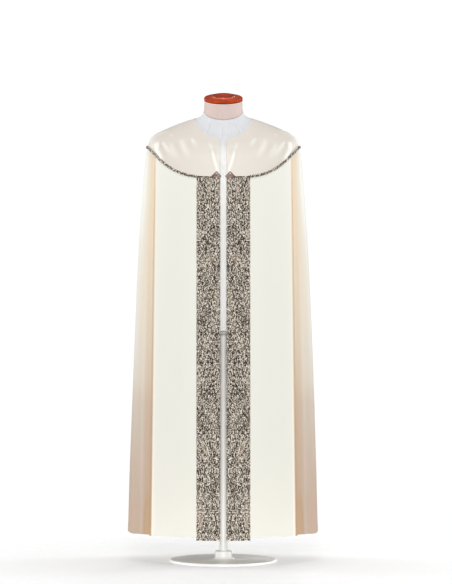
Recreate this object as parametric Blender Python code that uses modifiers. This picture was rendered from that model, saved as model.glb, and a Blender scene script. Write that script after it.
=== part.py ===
"""A cope, the long open cape of a priest, resting on a limbless dress form that stands on the floor.

The wearer faces -Y and +X is the wearer's left. The origin is on the floor under the pole.
Lengths are metres.

Every piece of cloth is part of one surface. A point on it has a station and a level:
    station   0 left front edge, 1 outer edge of the band, 2 crest of the side fold, 3 side seam,
              4 centre back, and on to 5, 6, 7 and 8, which are the same places on the wearer's right
    level     -1 neck edge, 0 lower edge of the yoke, 1 hem
"""

import math
from collections import namedtuple

import bmesh
import bpy
from mathutils import Vector

# Cloth
CLOTH = 0.002
BAND_CLOTH = 0.0015
BRAID_THICK = 0.0040
SEAM = 0.0003
HEM_HEIGHT = 0.098
FRONT_GAP = 0.0104
BAND_EDGE = 0.089
CREST_TOP, CREST_HEM = 0.2275, 0.2425
BAND_OVERHANG = 0.010

# Clasps: two pointed plates, each with a window under its point and a pearl at its foot
CLASP_MIDDLE = 0.0225
CLASP_HALF_WIDTH = 0.0165
CLASP_PEAK, CLASP_FOOT = 0.0160, -0.0125
CLASP_HEIGHT = 1.3035
CLASP_PLATE = 0.0022
WINDOW_PEAK, WINDOW_SILL, WINDOW_HALF_WIDTH = 0.0115, 0.0062, 0.0042
PEARL_RADIUS, PEARL_RISE, PEARL_DROP = 0.0027, 0.0020, 0.0092

# Dress form and stand
CHEST_GAP = 0.010
NECK_TILT = math.radians(16)
NECK_RADIUS = 0.0645
NECK_TOP = Vector((0, -0.012, 1.565))
CAP_RADIUS = 0.066
POLE_RADIUS = 0.014
FLANGE_RADIUS, FLANGE_THICK = 0.060, 0.010
BASE_RADIUS, BASE_THICK, BASE_ROUND = 0.180, 0.008, 0.003
BOSS_RADIUS, BOSS_TOP, BOSS_ROUND = 0.032, 0.036, 0.004
CAP_THICK, CAP_ROUND = 0.012, 0.006
CROWN_RADIUS, CROWN_TOP, CROWN_DISH, CROWN_ROUND = 0.038, 0.019, 0.004, 0.003

# Rings of the garment. Side, front and back say where the ring crosses the shoulder line and the two centre
# lines. The height between them bows as (1 - sin(bearing) ** power) ** root.
Ring = namedtuple("Ring", "level half_width middle front back z_side z_front z_back power root")
YOKE_RINGS = (
    Ring(-1.00, 0.099, 0.0, 0.085, 0.075, 1.5030, 1.4320, 1.5130, 2.3, 0.65),
    Ring(-0.75, 0.149, 0.0, 0.107, 0.099, 1.4860, 1.4045, 1.4955, 2.6, 0.75),
    Ring(-0.50, 0.200, 0.0, 0.127, 0.119, 1.4645, 1.3715, 1.4600, 3.0, 0.90),
    Ring(-0.25, 0.240, 0.0, 0.141, 0.133, 1.4420, 1.3360, 1.4040, 3.4, 1.10),
    Ring(0.00, 0.256, 0.0, 0.150, 0.142, 1.4065, 1.2985, 1.3350, 3.7, 1.25),
)
# Below the yoke the rings only widen, and sink evenly to the level hem.
Drape = namedtuple("Drape", "level half_width front back")
DRAPE_RINGS = (
    Drape(0.00, 0.256, 0.1500, 0.1420),
    Drape(0.03, 0.2635, 0.1520, 0.1475),
    Drape(0.10, 0.2710, 0.1550, 0.1590),
    Drape(0.25, 0.285, 0.163, 0.180),
    Drape(0.50, 0.300, 0.176, 0.205),
    Drape(0.75, 0.311, 0.188, 0.225),
    Drape(1.00, 0.317, 0.200, 0.240),
)
# The deep fold at each side: how far it sinks behind the front panel near the yoke and at the hem.
SIDE_FOLD_TOP, SIDE_FOLD_HEM, SIDE_FOLD_START = 0.010, 0.028, 0.03
SIDE_FOLD_FLOOR = 0.17
# Soft folds round the back. Bearings and spreads are in degrees from the centre front, towards the
# wearer's left.
Fold = namedtuple("Fold", "bearing spread depth start")
BACK_FOLDS = (
    Fold(106, 13, 0.016, 0.04),
    Fold(120, 9, -0.015, 0.16),
    Fold(134, 12, 0.021, 0.02),
    Fold(148, 9, -0.017, 0.10),
    Fold(160, 10, 0.017, 0.22),
    Fold(171, 8, -0.013, 0.34),
    Fold(184, 12, 0.018, 0.06),
    Fold(197, 9, -0.016, 0.14),
    Fold(211, 13, 0.022, 0.03),
    Fold(224, 8, -0.015, 0.28),
    Fold(236, 10, 0.016, 0.12),
    Fold(247, 7, -0.012, 0.20),
    Fold(258, 11, 0.015, 0.05),
)
# Rings of the dress form: the neck above the yoke's neck edge, and the body below the end of the shoulder.
NECK_RINGS = (
    Ring(0, 0.0645, -0.012, 0.0620, 0.0620, 1.5650, 1.5472, 1.5828, 2.0, 0.50),
    Ring(0, 0.0650, -0.011, 0.0635, 0.0625, 1.5450, 1.5220, 1.5660, 2.0, 0.50),
    Ring(0, 0.0668, -0.009, 0.0660, 0.0640, 1.5290, 1.4960, 1.5510, 2.1, 0.55),
    Ring(0, 0.0720, -0.006, 0.0690, 0.0650, 1.5170, 1.4680, 1.5350, 2.3, 0.65),
    Ring(0, 0.0840, -0.003, 0.0735, 0.0670, 1.5090, 1.4470, 1.5195, 2.4, 0.70),
)
BODY_RINGS = (
    Ring(0, 0.2300, 0.0, 0.1270, 0.1200, 1.4400, 1.3300, 1.4050, 3.0, 0.92),
    Ring(0, 0.2320, 0.0, 0.1300, 0.1240, 1.4180, 1.3050, 1.3750, 3.0, 0.94),
    Ring(0, 0.2240, 0.0, 0.1330, 0.1280, 1.3830, 1.2750, 1.3350, 3.0, 0.96),
    Ring(0, 0.2050, 0.0, 0.1340, 0.1300, 1.3240, 1.2400, 1.2900, 3.0, 1.00),
    Ring(0, 0.1890, 0.0, 0.1320, 0.1270, 1.2600, 1.2000, 1.2350, 3.0, 1.00),
    Ring(0, 0.1730, 0.0, 0.1240, 0.1160, 1.1600, 1.1300, 1.1450, 3.0, 1.00),
    Ring(0, 0.1650, 0.0, 0.1180, 0.1080, 1.0700, 1.0600, 1.0650, 3.0, 1.00),
    Ring(0, 0.1680, 0.0, 0.1200, 0.1150, 0.9850, 0.9850, 0.9850, 3.0, 1.00),
    Ring(0, 0.1780, 0.0, 0.1260, 0.1310, 0.9000, 0.9000, 0.9000, 3.0, 1.00),
    Ring(0, 0.1800, 0.0, 0.1250, 0.1340, 0.8400, 0.8400, 0.8400, 3.0, 1.00),
    Ring(0, 0.1730, 0.0, 0.1180, 0.1270, 0.7850, 0.7850, 0.7850, 3.0, 1.00),
)
FORM_BOTTOM = BODY_RINGS[-1].z_side

# Where the cloth's points lie. The side fold takes a closer row of stations at its crest and floor.
FRONT_STATIONS = (0, 0.25, 0.5, 0.75, 1, 1.2, 1.4, 1.6, 1.8, 1.92, 2)
FOLD_STATIONS = (2.03, 2.06, 2.09, 2.12, 2.17, 2.23, 2.31, 2.42, 2.56, 2.72, 2.86, 3)
BACK_STEPS = 40
FORM_BACK_STEPS = 20
YOKE_LEVELS = (-1, -0.87, -0.74, -0.61, -0.48, -0.35, -0.23, -0.13, -0.06, 0)
BODY_LEVELS = (0, 0.004, 0.03, 0.07, 0.14, 0.24, 0.36, 0.49, 0.62, 0.75, 0.88, 1)
BRAID_LEVELS = (-0.026, 0, BODY_LEVELS[1])
BRAID_START, BRAID_END_GAP = 1.004, 0.002
SHOULDER_END_LEVEL = -0.35
SIDE_SEAM_LEFT, CENTRE_BACK, SIDE_SEAM_RIGHT, LAST_STATION = 3, 4, 5, 8


# ---------------------------------------------------------------- the cloth's surface
def eased(rows, level):
    """The row at this level, on a smooth curve through the table's rows."""
    row_type = type(rows[0])
    upper = next((i for i in range(1, len(rows) - 1) if level <= rows[i].level), len(rows) - 1)
    before, after = rows[upper - 1], rows[upper]
    span = after.level - before.level
    part = (level - before.level) / span

    def slope(i, column):
        low, high = rows[max(i - 1, 0)], rows[min(i + 1, len(rows) - 1)]
        return (high[column] - low[column]) / (high.level - low.level)

    values = []
    for column in range(len(before)):
        a, b = before[column], after[column]
        slope_a, slope_b = slope(upper - 1, column) * span, slope(upper, column) * span
        cubic = 2 * a - 2 * b + slope_a + slope_b
        square = -3 * a + 3 * b - 2 * slope_a - slope_b
        values.append(a + part * (slope_a + part * (square + part * cubic)))
    return row_type(*values)


def ring_height(ring, bearing):
    """Height of a ring at a bearing from the centre front, in radians."""
    end = ring.z_front if math.cos(bearing) > 0 else ring.z_back
    bow = max(0.0, 1 - abs(math.sin(bearing)) ** ring.power) ** ring.root
    return ring.z_side + (end - ring.z_side) * bow


def ring_point(ring, bearing):
    """The point of a ring at a bearing from the centre front, and the outward direction there in plan."""
    depth = ring.front if math.cos(bearing) > 0 else ring.back
    across, along = math.sin(bearing), -math.cos(bearing)
    point = Vector((ring.half_width * across, ring.middle + depth * along, ring_height(ring, bearing)))
    outward = Vector((across / ring.half_width, along / depth, 0)).normalized()
    return point, outward


def bearing_of(station, ring, crest):
    """Bearing of a station on a ring. The front stations keep their distances from the centre line."""
    if station > CENTRE_BACK:
        return math.tau - bearing_of(LAST_STATION - station, ring, crest)
    crest_bearing = math.asin(crest / ring.half_width)
    if station >= SIDE_SEAM_LEFT:
        return math.pi / 2 * (1 + station - SIDE_SEAM_LEFT)
    if station >= 2:
        return crest_bearing + (math.pi / 2 - crest_bearing) * (station - 2)
    yoke_share = min(1.0, ring.half_width / YOKE_RINGS[-1].half_width)
    band_edge = FRONT_GAP + (BAND_EDGE - FRONT_GAP) * yoke_share
    if station >= 1:
        across = band_edge + (crest - band_edge) * (station - 1)
    else:
        across = FRONT_GAP + (band_edge - FRONT_GAP) * station
    return math.asin(across / ring.half_width)


def eased_step(part):
    part = min(1.0, max(0.0, part))
    return part * part * (3 - 2 * part)


def side_fold_depth(station, level):
    """How far the cloth sinks in at the side fold: steeply behind the crest, then slowly outward."""
    near = min(station, LAST_STATION - station)
    along = near - 2
    if level <= 0 or along <= 0 or along >= 1:
        return 0.0
    sinking = eased_step(along / SIDE_FOLD_FLOOR)
    rising = eased_step((along - SIDE_FOLD_FLOOR) / (1 - SIDE_FOLD_FLOOR))
    start = SIDE_FOLD_TOP * (1 - math.exp(-level / SIDE_FOLD_START))
    return sinking * (1 - rising) * (start + (SIDE_FOLD_HEM - SIDE_FOLD_TOP) * level)


def back_fold_height(bearing, level):
    """How far the back's folds stand out (or sink, where negative)."""
    height = 0.0
    for fold in BACK_FOLDS:
        off = (math.degrees(bearing) - fold.bearing) / fold.spread
        if abs(off) < 1 and level > fold.start:
            grown = eased_step((level - fold.start) / (1.25 - fold.start))
            height += fold.depth * grown * math.cos(off * math.pi / 2) ** 2
    return height


def cloth_point(station, level):
    """The point of the cloth's inner face at a station and level."""
    if level <= 0:
        ring = eased(YOKE_RINGS, level)
        crest = FRONT_GAP + (CREST_TOP - FRONT_GAP) * ring.half_width / YOKE_RINGS[-1].half_width
        return ring_point(ring, bearing_of(station, ring, crest))[0]
    drape = eased(DRAPE_RINGS, level)
    edge = YOKE_RINGS[-1]
    ring = edge._replace(half_width=drape.half_width, front=drape.front, back=drape.back)
    crest = CREST_TOP + (CREST_HEM - CREST_TOP) * level
    bearing = bearing_of(station, ring, crest)
    point, outward = ring_point(ring, bearing)
    start_height = ring_height(edge, bearing_of(station, edge, CREST_TOP))
    point.z = start_height + (HEM_HEIGHT - start_height) * level
    return point + outward * (back_fold_height(bearing, level) - side_fold_depth(station, level))


def cloth_normal(station, level):
    """The outward direction of the cloth, which turns sharply where the body is sewn to the yoke."""
    step = 0.004
    low_station, high_station = max(station - step, 0), min(station + step, LAST_STATION)
    if level <= 0:
        low_level, high_level = max(level - step, -1), min(level + step, 0)
    else:
        low_level, high_level = max(level - step, step), level + step
    round_it = cloth_point(high_station, level) - cloth_point(low_station, level)
    down_it = cloth_point(station, high_level) - cloth_point(station, low_level)
    return down_it.cross(round_it).normalized()


def even_steps(start, end, count):
    return tuple(start + (end - start) * i / count for i in range(count + 1))


def mirrored(stations):
    return tuple(LAST_STATION - station for station in reversed(stations))


def pull_in(edge, beside, distance):
    """Moves a row of points towards the row beside it."""
    return [point + (other - point).normalized() * distance for point, other in zip(edge, beside)]


# ---------------------------------------------------------------- making objects
def start_scene():
    for obj in list(bpy.data.objects):
        bpy.data.objects.remove(obj)
    collection = bpy.data.collections.new("cope_on_dress_form")
    bpy.context.scene.collection.children.link(collection)
    return collection


def material(name, color, roughness, metallic=0.0):
    made = bpy.data.materials.new(name)
    made.use_nodes = True
    shader = made.node_tree.nodes["Principled BSDF"]
    shader.inputs["Base Color"].default_value = (*color, 1)
    shader.inputs["Roughness"].default_value = roughness
    shader.inputs["Metallic"].default_value = metallic
    return made


def add_object(name, data, made_of):
    data.materials.append(made_of)
    obj = bpy.data.objects.new(name, data)
    COPE.objects.link(obj)
    return obj


def grid_faces(rows, columns):
    faces = []
    for i in range(rows - 1):
        for j in range(columns - 1):
            corner = i * columns + j
            faces.append((corner, corner + columns, corner + columns + 1, corner + 1))
    return faces


def shell(name, grid, thickness, made_of):
    """A wall of cloth on an open surface, thickened outwards. Rows run down and columns round."""
    mesh = bpy.data.meshes.new(name)
    mesh.from_pydata([point for row in grid for point in row], [], grid_faces(len(grid), len(grid[0])))
    obj = add_object(name, mesh, made_of)
    solid = obj.modifiers.new("thickness", "SOLIDIFY")
    solid.thickness = thickness
    solid.offset = 1
    mesh.shade_smooth()
    return obj


def panel(name, stations, levels, made_of):
    """A panel of the garment, drawn back by half a seam from the panels that it is sewn to."""
    grid = [[cloth_point(station, level) for station in stations] for level in levels]
    half_seam = SEAM / 2
    if levels[0] == 0:
        grid[0] = pull_in(grid[0], grid[1], half_seam)
    if levels[-1] == 0:
        grid[-1] = pull_in(grid[-1], grid[-2], half_seam)
    for end, inside in ((0, 1), (-1, -2)):
        if stations[end] in (SIDE_SEAM_LEFT, CENTRE_BACK, SIDE_SEAM_RIGHT):
            edge = pull_in([row[end] for row in grid], [row[inside] for row in grid], half_seam)
            for row, point in zip(grid, edge):
                row[end] = point
    return shell(name, grid, CLOTH, made_of)


def lift(station, level):
    """The way from the cloth's inner face to a strip that lies on it, mitred where it bends over a seam."""
    normal = cloth_normal(station, level)
    if level != 0:
        return normal * (CLOTH + SEAM)
    middle = (normal + cloth_normal(station, 0.001)).normalized()
    return middle * ((CLOTH + SEAM) / middle.dot(normal))


def trim(name, stations, levels, thickness, made_of):
    """A strip that lies on a panel: the panel's own points, moved out past its outer face."""
    grid = [[cloth_point(station, level) + lift(station, level) for station in stations] for level in levels]
    return shell(name, grid, thickness, made_of)


def lofted(name, rings, made_of):
    """A closed solid through rings of points, from top to bottom, with flat ends."""
    count = len(rings[0])
    faces = [tuple(range(count))]
    for i in range(len(rings) - 1):
        for j in range(count):
            after = (j + 1) % count
            faces.append((i * count + j, (i + 1) * count + j, (i + 1) * count + after, i * count + after))
    last = (len(rings) - 1) * count
    faces.append(tuple(range(last + count - 1, last - 1, -1)))
    mesh = bpy.data.meshes.new(name)
    mesh.from_pydata([point for ring in rings for point in ring], [], faces)
    obj = add_object(name, mesh, made_of)
    mesh.shade_smooth()
    return obj


def turned(name, profile, segments, made_of):
    """A solid of revolution about Z from (radius, height) points that run down its outer side."""
    mesh = bpy.data.meshes.new(name)
    points = [(radius, 0, height) for radius, height in profile]
    mesh.from_pydata(points, [(i, i + 1) for i in range(len(points) - 1)], [])
    obj = add_object(name, mesh, made_of)
    screw = obj.modifiers.new("turn", "SCREW")
    screw.axis = "Z"
    screw.steps = segments
    screw.render_steps = segments
    screw.use_merge_vertices = True
    screw.merge_threshold = 0.00005
    screw.use_smooth_shade = True
    return obj


def arc(centre, radius, start, end, steps):
    """Points on an arc, as (radius, height) pairs; angles in degrees from the outward direction."""
    angles = [math.radians(start + (end - start) * i / steps) for i in range(steps + 1)]
    return [(centre[0] + radius * math.cos(a), centre[1] + radius * math.sin(a)) for a in angles]


# ---------------------------------------------------------------- the garment
def make_garment():
    front = FRONT_STATIONS + FOLD_STATIONS
    back = even_steps(SIDE_SEAM_LEFT, SIDE_SEAM_RIGHT, BACK_STEPS)
    back_half = back[: back.index(CENTRE_BACK) + 1]
    for part, levels, made_of in (("yoke", YOKE_LEVELS, SATIN), ("body", BODY_LEVELS, WOOL)):
        panel(f"{part}_front_left", front, levels, made_of)
        panel(f"{part}_front_right", mirrored(front), levels, made_of)
    panel("yoke_back", back, YOKE_LEVELS, SATIN)
    panel("body_back_left", back_half, BODY_LEVELS, WOOL)
    panel("body_back_right", mirrored(back_half), BODY_LEVELS, WOOL)

    band_stations = FRONT_STATIONS[: FRONT_STATIONS.index(1) + 1]
    below_hem = 1 + BAND_OVERHANG / (YOKE_RINGS[-1].z_front - HEM_HEIGHT)
    top_of_band = SEAM / (YOKE_RINGS[-1].z_front - HEM_HEIGHT)
    band_levels = (top_of_band,) + BODY_LEVELS[1:] + (below_hem,)
    trim("orphrey_left", band_stations, band_levels, BAND_CLOTH, BROCADE)
    trim("orphrey_right", mirrored(band_stations), band_levels, BAND_CLOTH, BROCADE)

    beside_band = front[FRONT_STATIONS.index(1) + 1 : -1]
    before_seam = (BRAID_START,) + beside_band + (SIDE_SEAM_LEFT - BRAID_END_GAP,)
    first, last = SIDE_SEAM_LEFT + BRAID_END_GAP / 4, SIDE_SEAM_RIGHT - BRAID_END_GAP / 4
    inside_seams = (first,) + back[1:-1] + (last,)
    trim("braid_front_left", before_seam, BRAID_LEVELS, BRAID_THICK, BROCADE)
    trim("braid_back", inside_seams, BRAID_LEVELS, BRAID_THICK, BROCADE)
    trim("braid_front_right", mirrored(before_seam), BRAID_LEVELS, BRAID_THICK, BROCADE)


def clasp_outline():
    """A plate with a straight-sided point, two wings and a rounded foot, seen from the front."""
    wing = (CLASP_HALF_WIDTH, -0.0005)
    under_wing = (CLASP_HALF_WIDTH - 0.0012, -0.0028)
    waist = (CLASP_HALF_WIDTH * 0.72, -0.0052)
    steps = 5
    foot = []
    for i in range(1, steps + 1):
        turn = math.pi / 2 * i / steps
        foot.append((waist[0] * math.cos(turn), waist[1] + (CLASP_FOOT - waist[1]) * math.sin(turn)))
    right = [wing, under_wing, waist] + foot[:-1]
    left = [(-x, y) for x, y in reversed(right)]
    return [(0, CLASP_PEAK)] + right + [(0, CLASP_FOOT)] + left


def clasp_window():
    return [(0, WINDOW_PEAK), (-WINDOW_HALF_WIDTH, WINDOW_SILL), (WINDOW_HALF_WIDTH, WINDOW_SILL)]


def make_clasp(name, side):
    """One half of the clasp, on the head of a band."""
    station = (CLASP_MIDDLE - FRONT_GAP) / (BAND_EDGE - FRONT_GAP)
    station = station if side > 0 else LAST_STATION - station
    band_top = YOKE_RINGS[-1].z_front
    seat_level = (band_top - CLASP_HEIGHT - CLASP_FOOT) / (band_top - HEM_HEIGHT)
    normal = cloth_normal(station, seat_level)
    normal.z = 0
    normal.normalize()
    out = CLOTH + SEAM + BAND_CLOTH + SEAM
    seat = cloth_point(station, seat_level) + normal * out
    curve = bpy.data.curves.new(name, "CURVE")
    curve.dimensions = "2D"
    curve.fill_mode = "BOTH"
    curve.extrude = CLASP_PLATE / 2
    for outline in (clasp_outline(), clasp_window()):
        spline = curve.splines.new("POLY")
        spline.points.add(len(outline) - 1)
        for point, (x, y) in zip(spline.points, outline):
            point.co = (x, y, 0, 1)
        spline.use_cyclic_u = True
    drawn = add_object(f"{name}_outline", curve, BRONZE)
    plate_mesh = bpy.data.meshes.new_from_object(drawn.evaluated_get(bpy.context.evaluated_depsgraph_get()))
    bpy.data.objects.remove(drawn)
    plate = bpy.data.objects.new(name, plate_mesh)
    COPE.objects.link(plate)
    weld_loose_caps(plate_mesh)
    turn = normal.to_track_quat("Z", "Y")
    plate.rotation_mode = "QUATERNION"
    plate.rotation_quaternion = turn
    plate.location = Vector((seat.x, seat.y, CLASP_HEIGHT)) + normal * (CLASP_PLATE / 2)

    pearl = turned(f"{name}_pearl", pearl_profile(), 16, PEARL)
    pearl.rotation_mode = "QUATERNION"
    pearl.rotation_quaternion = turn
    pearl.location = Vector((seat.x, seat.y, CLASP_HEIGHT - PEARL_DROP)) + normal * (CLASP_PLATE + SEAM)


def weld_loose_caps(mesh):
    work = bmesh.new()
    work.from_mesh(mesh)
    bmesh.ops.remove_doubles(work, verts=work.verts, dist=0.000001)
    work.to_mesh(mesh)
    work.free()


def pearl_profile():
    """A low dome, from its middle down to its flat underside."""
    turns = even_steps(0, math.pi / 2, 5)
    dome = [(PEARL_RADIUS * math.sin(turn), PEARL_RISE * math.cos(turn)) for turn in turns[1:]]
    return [(0, PEARL_RISE)] + dome + [(0, 0)]


# ---------------------------------------------------------------- the dress form
def make_form():
    front = FRONT_STATIONS[2::2] + FOLD_STATIONS[4::2]
    back = even_steps(SIDE_SEAM_LEFT, SIDE_SEAM_RIGHT, FORM_BACK_STEPS)[1:-1]
    stations = front + back + mirrored(front)
    edge = YOKE_RINGS[-1]
    bearings = [0.0] + [bearing_of(s, edge, CREST_TOP) for s in stations]
    rings = [[ring_point(ring, b)[0] for b in bearings] for ring in NECK_RINGS]
    for level in (lv for lv in YOKE_LEVELS if lv <= SHOULDER_END_LEVEL):
        rings.append([under_yoke(level, b) for b in bearings])
    rings += [[ring_point(ring, b)[0] for b in bearings] for ring in BODY_RINGS]
    lofted("form_torso", rings, LINEN)


def under_yoke(level, bearing):
    """The form's surface under the yoke. It carries the shoulder and draws away at the chest."""
    ring = eased(YOKE_RINGS, level)
    step = 0.01
    point, _ = ring_point(ring, bearing)
    round_it = ring_point(ring, bearing + step)[0] - ring_point(ring, bearing - step)[0]
    down_it = ring_point(eased(YOKE_RINGS, min(level + step, 0)), bearing)[0] - ring_point(
        eased(YOKE_RINGS, max(level - step, -1)), bearing
    )[0]
    normal = down_it.cross(round_it).normalized()
    gap = SEAM + 0.0001 + CHEST_GAP * math.cos(bearing) ** 2
    return point - normal * gap


def make_stand():
    rim = CROWN_RADIUS - CROWN_ROUND
    dish = CROWN_TOP - CROWN_DISH
    profile = [(0, dish), (rim / 2, dish + CROWN_DISH / 4), (rim - 0.002, CROWN_TOP)]
    profile += arc((rim, CROWN_TOP - CROWN_ROUND), CROWN_ROUND, 80, 0, 3)
    profile += [(CROWN_RADIUS + 0.002, CAP_THICK + 0.001)]
    profile += arc((CAP_RADIUS - CAP_ROUND, CAP_THICK - CAP_ROUND), CAP_ROUND, 80, -60, 6)
    profile += [(NECK_RADIUS - 0.002, 0), (0, 0)]
    cap = turned("form_neck_cap", profile, 40, WOOD)
    cap.rotation_euler.x = NECK_TILT
    axis = Vector((0, -math.sin(NECK_TILT), math.cos(NECK_TILT)))
    cap.location = NECK_TOP + axis * SEAM

    top = FORM_BOTTOM - SEAM
    under_flange = top - FLANGE_THICK
    profile = [(0, top), (FLANGE_RADIUS, top), (FLANGE_RADIUS, under_flange)]
    profile += [(POLE_RADIUS + 0.004, under_flange - 0.004), (POLE_RADIUS, under_flange - 0.012)]
    profile += [(POLE_RADIUS, BOSS_TOP + SEAM), (0, BOSS_TOP + SEAM)]
    turned("stand_pole", profile, 32, ENAMEL)

    profile = [(0, BOSS_TOP)]
    profile += arc((BOSS_RADIUS - 2 * BOSS_ROUND, BOSS_TOP - BOSS_ROUND), BOSS_ROUND, 90, 0, 3)
    profile += [(BOSS_RADIUS, BASE_THICK + BOSS_ROUND), (BOSS_RADIUS + 2 * BOSS_ROUND, BASE_THICK)]
    profile += arc((BASE_RADIUS - BASE_ROUND, BASE_THICK - BASE_ROUND), BASE_ROUND, 90, 0, 3)
    profile += [(BASE_RADIUS, 0), (0, 0)]
    turned("stand_base", profile, 56, ENAMEL)


COPE = start_scene()
WOOL = material("ivory_cope_cloth", (0.871, 0.871, 0.791), 0.75)
SATIN = material("ivory_satin", (0.815, 0.768, 0.700), 0.38)
BROCADE = material("taupe_brocade", (0.305, 0.257, 0.212), 0.55, 0.2)
BRONZE = material("rose_bronze", (0.42, 0.24, 0.19), 0.35, 0.9)
PEARL = material("pearl", (0.87, 0.84, 0.80), 0.15)
LINEN = material("form_linen", (0.723, 0.597, 0.546), 0.85)
WOOD = material("red_stained_wood", (0.45, 0.075, 0.035), 0.28)
ENAMEL = material("pale_enamel", (0.80, 0.785, 0.75), 0.4)

make_garment()
make_clasp("clasp_left", 1)
make_clasp("clasp_right", -1)
make_form()
make_stand()
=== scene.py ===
"""The finished look of a cope on its dress form: an ivory cape with a satin yoke, two flecked bands,
a twisted braid round the yoke and a two-part clasp.

The wearer faces -Y and +X is the wearer's left. Lengths are metres. Angles are radians, or degrees where a
comment says so.

Every piece of cloth is part of one surface. A point on it has a station and a level:
    station   0 left front edge, 1 outer edge of the band, 2 crest of the side fold, 3 side seam,
              4 centre back, and on to 5, 6, 7 and 8, which are the same places on the wearer's right
    level     -1 neck edge, 0 lower edge of the yoke, 1 hem
"""

import math
from collections import namedtuple
from contextlib import contextmanager

import bmesh
import bpy
import numpy as np
from mathutils import Matrix, Vector


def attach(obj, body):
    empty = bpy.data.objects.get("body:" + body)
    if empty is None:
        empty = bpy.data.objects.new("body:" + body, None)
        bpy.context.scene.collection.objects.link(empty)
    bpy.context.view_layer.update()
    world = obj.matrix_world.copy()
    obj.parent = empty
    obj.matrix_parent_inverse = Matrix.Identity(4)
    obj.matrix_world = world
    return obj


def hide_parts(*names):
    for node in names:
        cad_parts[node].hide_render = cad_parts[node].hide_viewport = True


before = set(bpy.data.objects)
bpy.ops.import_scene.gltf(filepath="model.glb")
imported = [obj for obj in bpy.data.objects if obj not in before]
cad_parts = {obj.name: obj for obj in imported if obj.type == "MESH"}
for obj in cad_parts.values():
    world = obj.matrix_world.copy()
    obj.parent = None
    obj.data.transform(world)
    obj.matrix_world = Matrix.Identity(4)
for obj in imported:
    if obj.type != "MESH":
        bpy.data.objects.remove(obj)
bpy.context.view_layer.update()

# ---------------------------------------------------------------- sizes
CLOTH = 0.002
BAND_CLOTH = 0.0015
SEAM = 0.0003
HEM_HEIGHT = 0.098
FRONT_GAP = 0.0104
BAND_EDGE = 0.089
BAND_OVERHANG = 0.010
CREST_TOP, CREST_HEM = 0.2275, 0.2425

# The clasp. Places on its plate are measured from the plate's middle, and petals lean in degrees.
CLASP_MIDDLE, CLASP_HEIGHT = 0.0225, 1.3035
CLASP_HALF_WIDTH, CLASP_PEAK, CLASP_FOOT = 0.0165, 0.0160, -0.0125
CLASP_WINGS = ((CLASP_HALF_WIDTH, -0.0005), (CLASP_HALF_WIDTH - 0.0012, -0.0028))
CLASP_WAIST, WAIST_HEIGHT, INSET_MIDDLE = CLASP_HALF_WIDTH * 0.72, -0.0052, 0.0006
CLASP_PLATE, CLASP_BEVEL, CLASP_WIRE = 0.0013, 0.0003, 0.00055
WINDOW_PEAK, WINDOW_SILL, WINDOW_HALF_WIDTH = 0.0115, 0.0062, 0.0042
WINDOW_RIM_SCALE, WINDOW_RIM_DROP, WINDOW_RIM_RISE = 1.28, 0.0005, 0.0002
RIM_INSET, RIM_RISE, WINDOW_WIRE = 0.0009, CLASP_WIRE * 0.4, CLASP_WIRE * 0.8
MILLING_INSET, MILLING_PITCH, MILLING_BEAD = 0.0024, 0.0013, 0.00042
WING_BEAD, WING_BEAD_INSET, WING_BEAD_DROP = 0.0010, 0.0026, 0.0013
PETAL_LEANS, PETAL_LENGTH, PETAL_DROP, PETAL_RISE = (-38, 0, 38), 0.0048, 0.0012, 0.0003
PETAL_STEPS, PETAL_THIN, PETAL_SWELL, PETAL_ARC = 8, 0.5, 1.5, (0.08, 0.98)
PEARL_RADIUS, PEARL_DROP, PEARL_OUT, CUP_RISE = 0.0027, 0.0092, 0.0024, 0.0006
BEAD_SIDES, PEARL_SIDES = (12, 8), (32, 20)
SCROLL_STEPS, SCROLL_EASE, SCROLL_TAPER, EYE_SIZE, EYE_RISE = 27, 0.8, 0.45, 1.1, 0.0003
# Scrolls of the clasp: the middle, the first and last radius, the first angle in degrees, the turns and
# the wire's radius. Each has its mirror image on the plate's other side.
Scroll = namedtuple("Scroll", "across up start end angle turns thick")
SCROLLS = (
    Scroll(0.0068, -0.0006, 0.0036, 0.0006, 90, -1.35, CLASP_WIRE * 1.15),
    Scroll(0.0050, -0.0070, 0.0021, 0.0004, -60, 1.10, CLASP_WIRE * 0.90),
)

SHOULDER_GAP, CHEST_GAP = 0.0004, 0.010
NECK_TILT = math.radians(16)
NECK_RADIUS = 0.0645
NECK_TOP = Vector((0, -0.012, 1.565))
TAPE_RADIUS, TAPE_DROP, TAPE_OUT = 0.0012, 0.0016, 0.0003
CAP_RADIUS, CAP_THICK, CAP_ROUND, CAP_COVE = 0.066, 0.012, 0.006, 0.0045
CAP_UNDERSIDE = NECK_RADIUS - 0.002
CROWN_RADIUS, CROWN_TOP, CROWN_DISH, CROWN_ROUND = 0.038, 0.019, 0.004, 0.003
CROWN_RIM, CROWN_RIM_DROP, CROWN_CURL = 0.001, 0.0003, 0.0025
# The dished crown's curve as shares of the way out and up, then where shade is painted on the cap's edges
CROWN_HOLLOW = ((0, 0), (0.35, 0.10), (0.60, 0.36), (0.82, 0.76))
DARK_FOOT, DARK_CROWN = (0.0036, 0.0018), (CROWN_TOP - 0.0022, CROWN_TOP - 0.0010)
FOOT_SHADE, CROWN_SHADE, CROWN_SHADE_FROM = 0.85, 0.55, 0.7
COVE_MIDDLE, COVE_WIDTH = CROWN_RADIUS + 0.0004, 0.0018
POLE_RADIUS = 0.014
FLANGE_RADIUS, FLANGE_THICK, FLANGE_ROUND, FLANGE_CHAMFER = 0.060, 0.010, 0.002, 0.001
CONE_FLARE, CONE_LENGTH = 0.004, 0.012
BASE_RADIUS, BASE_THICK, BASE_ROUND = 0.180, 0.008, 0.003
BOSS_RADIUS, BOSS_TOP, BOSS_ROUND = 0.032, 0.036, 0.004

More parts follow.
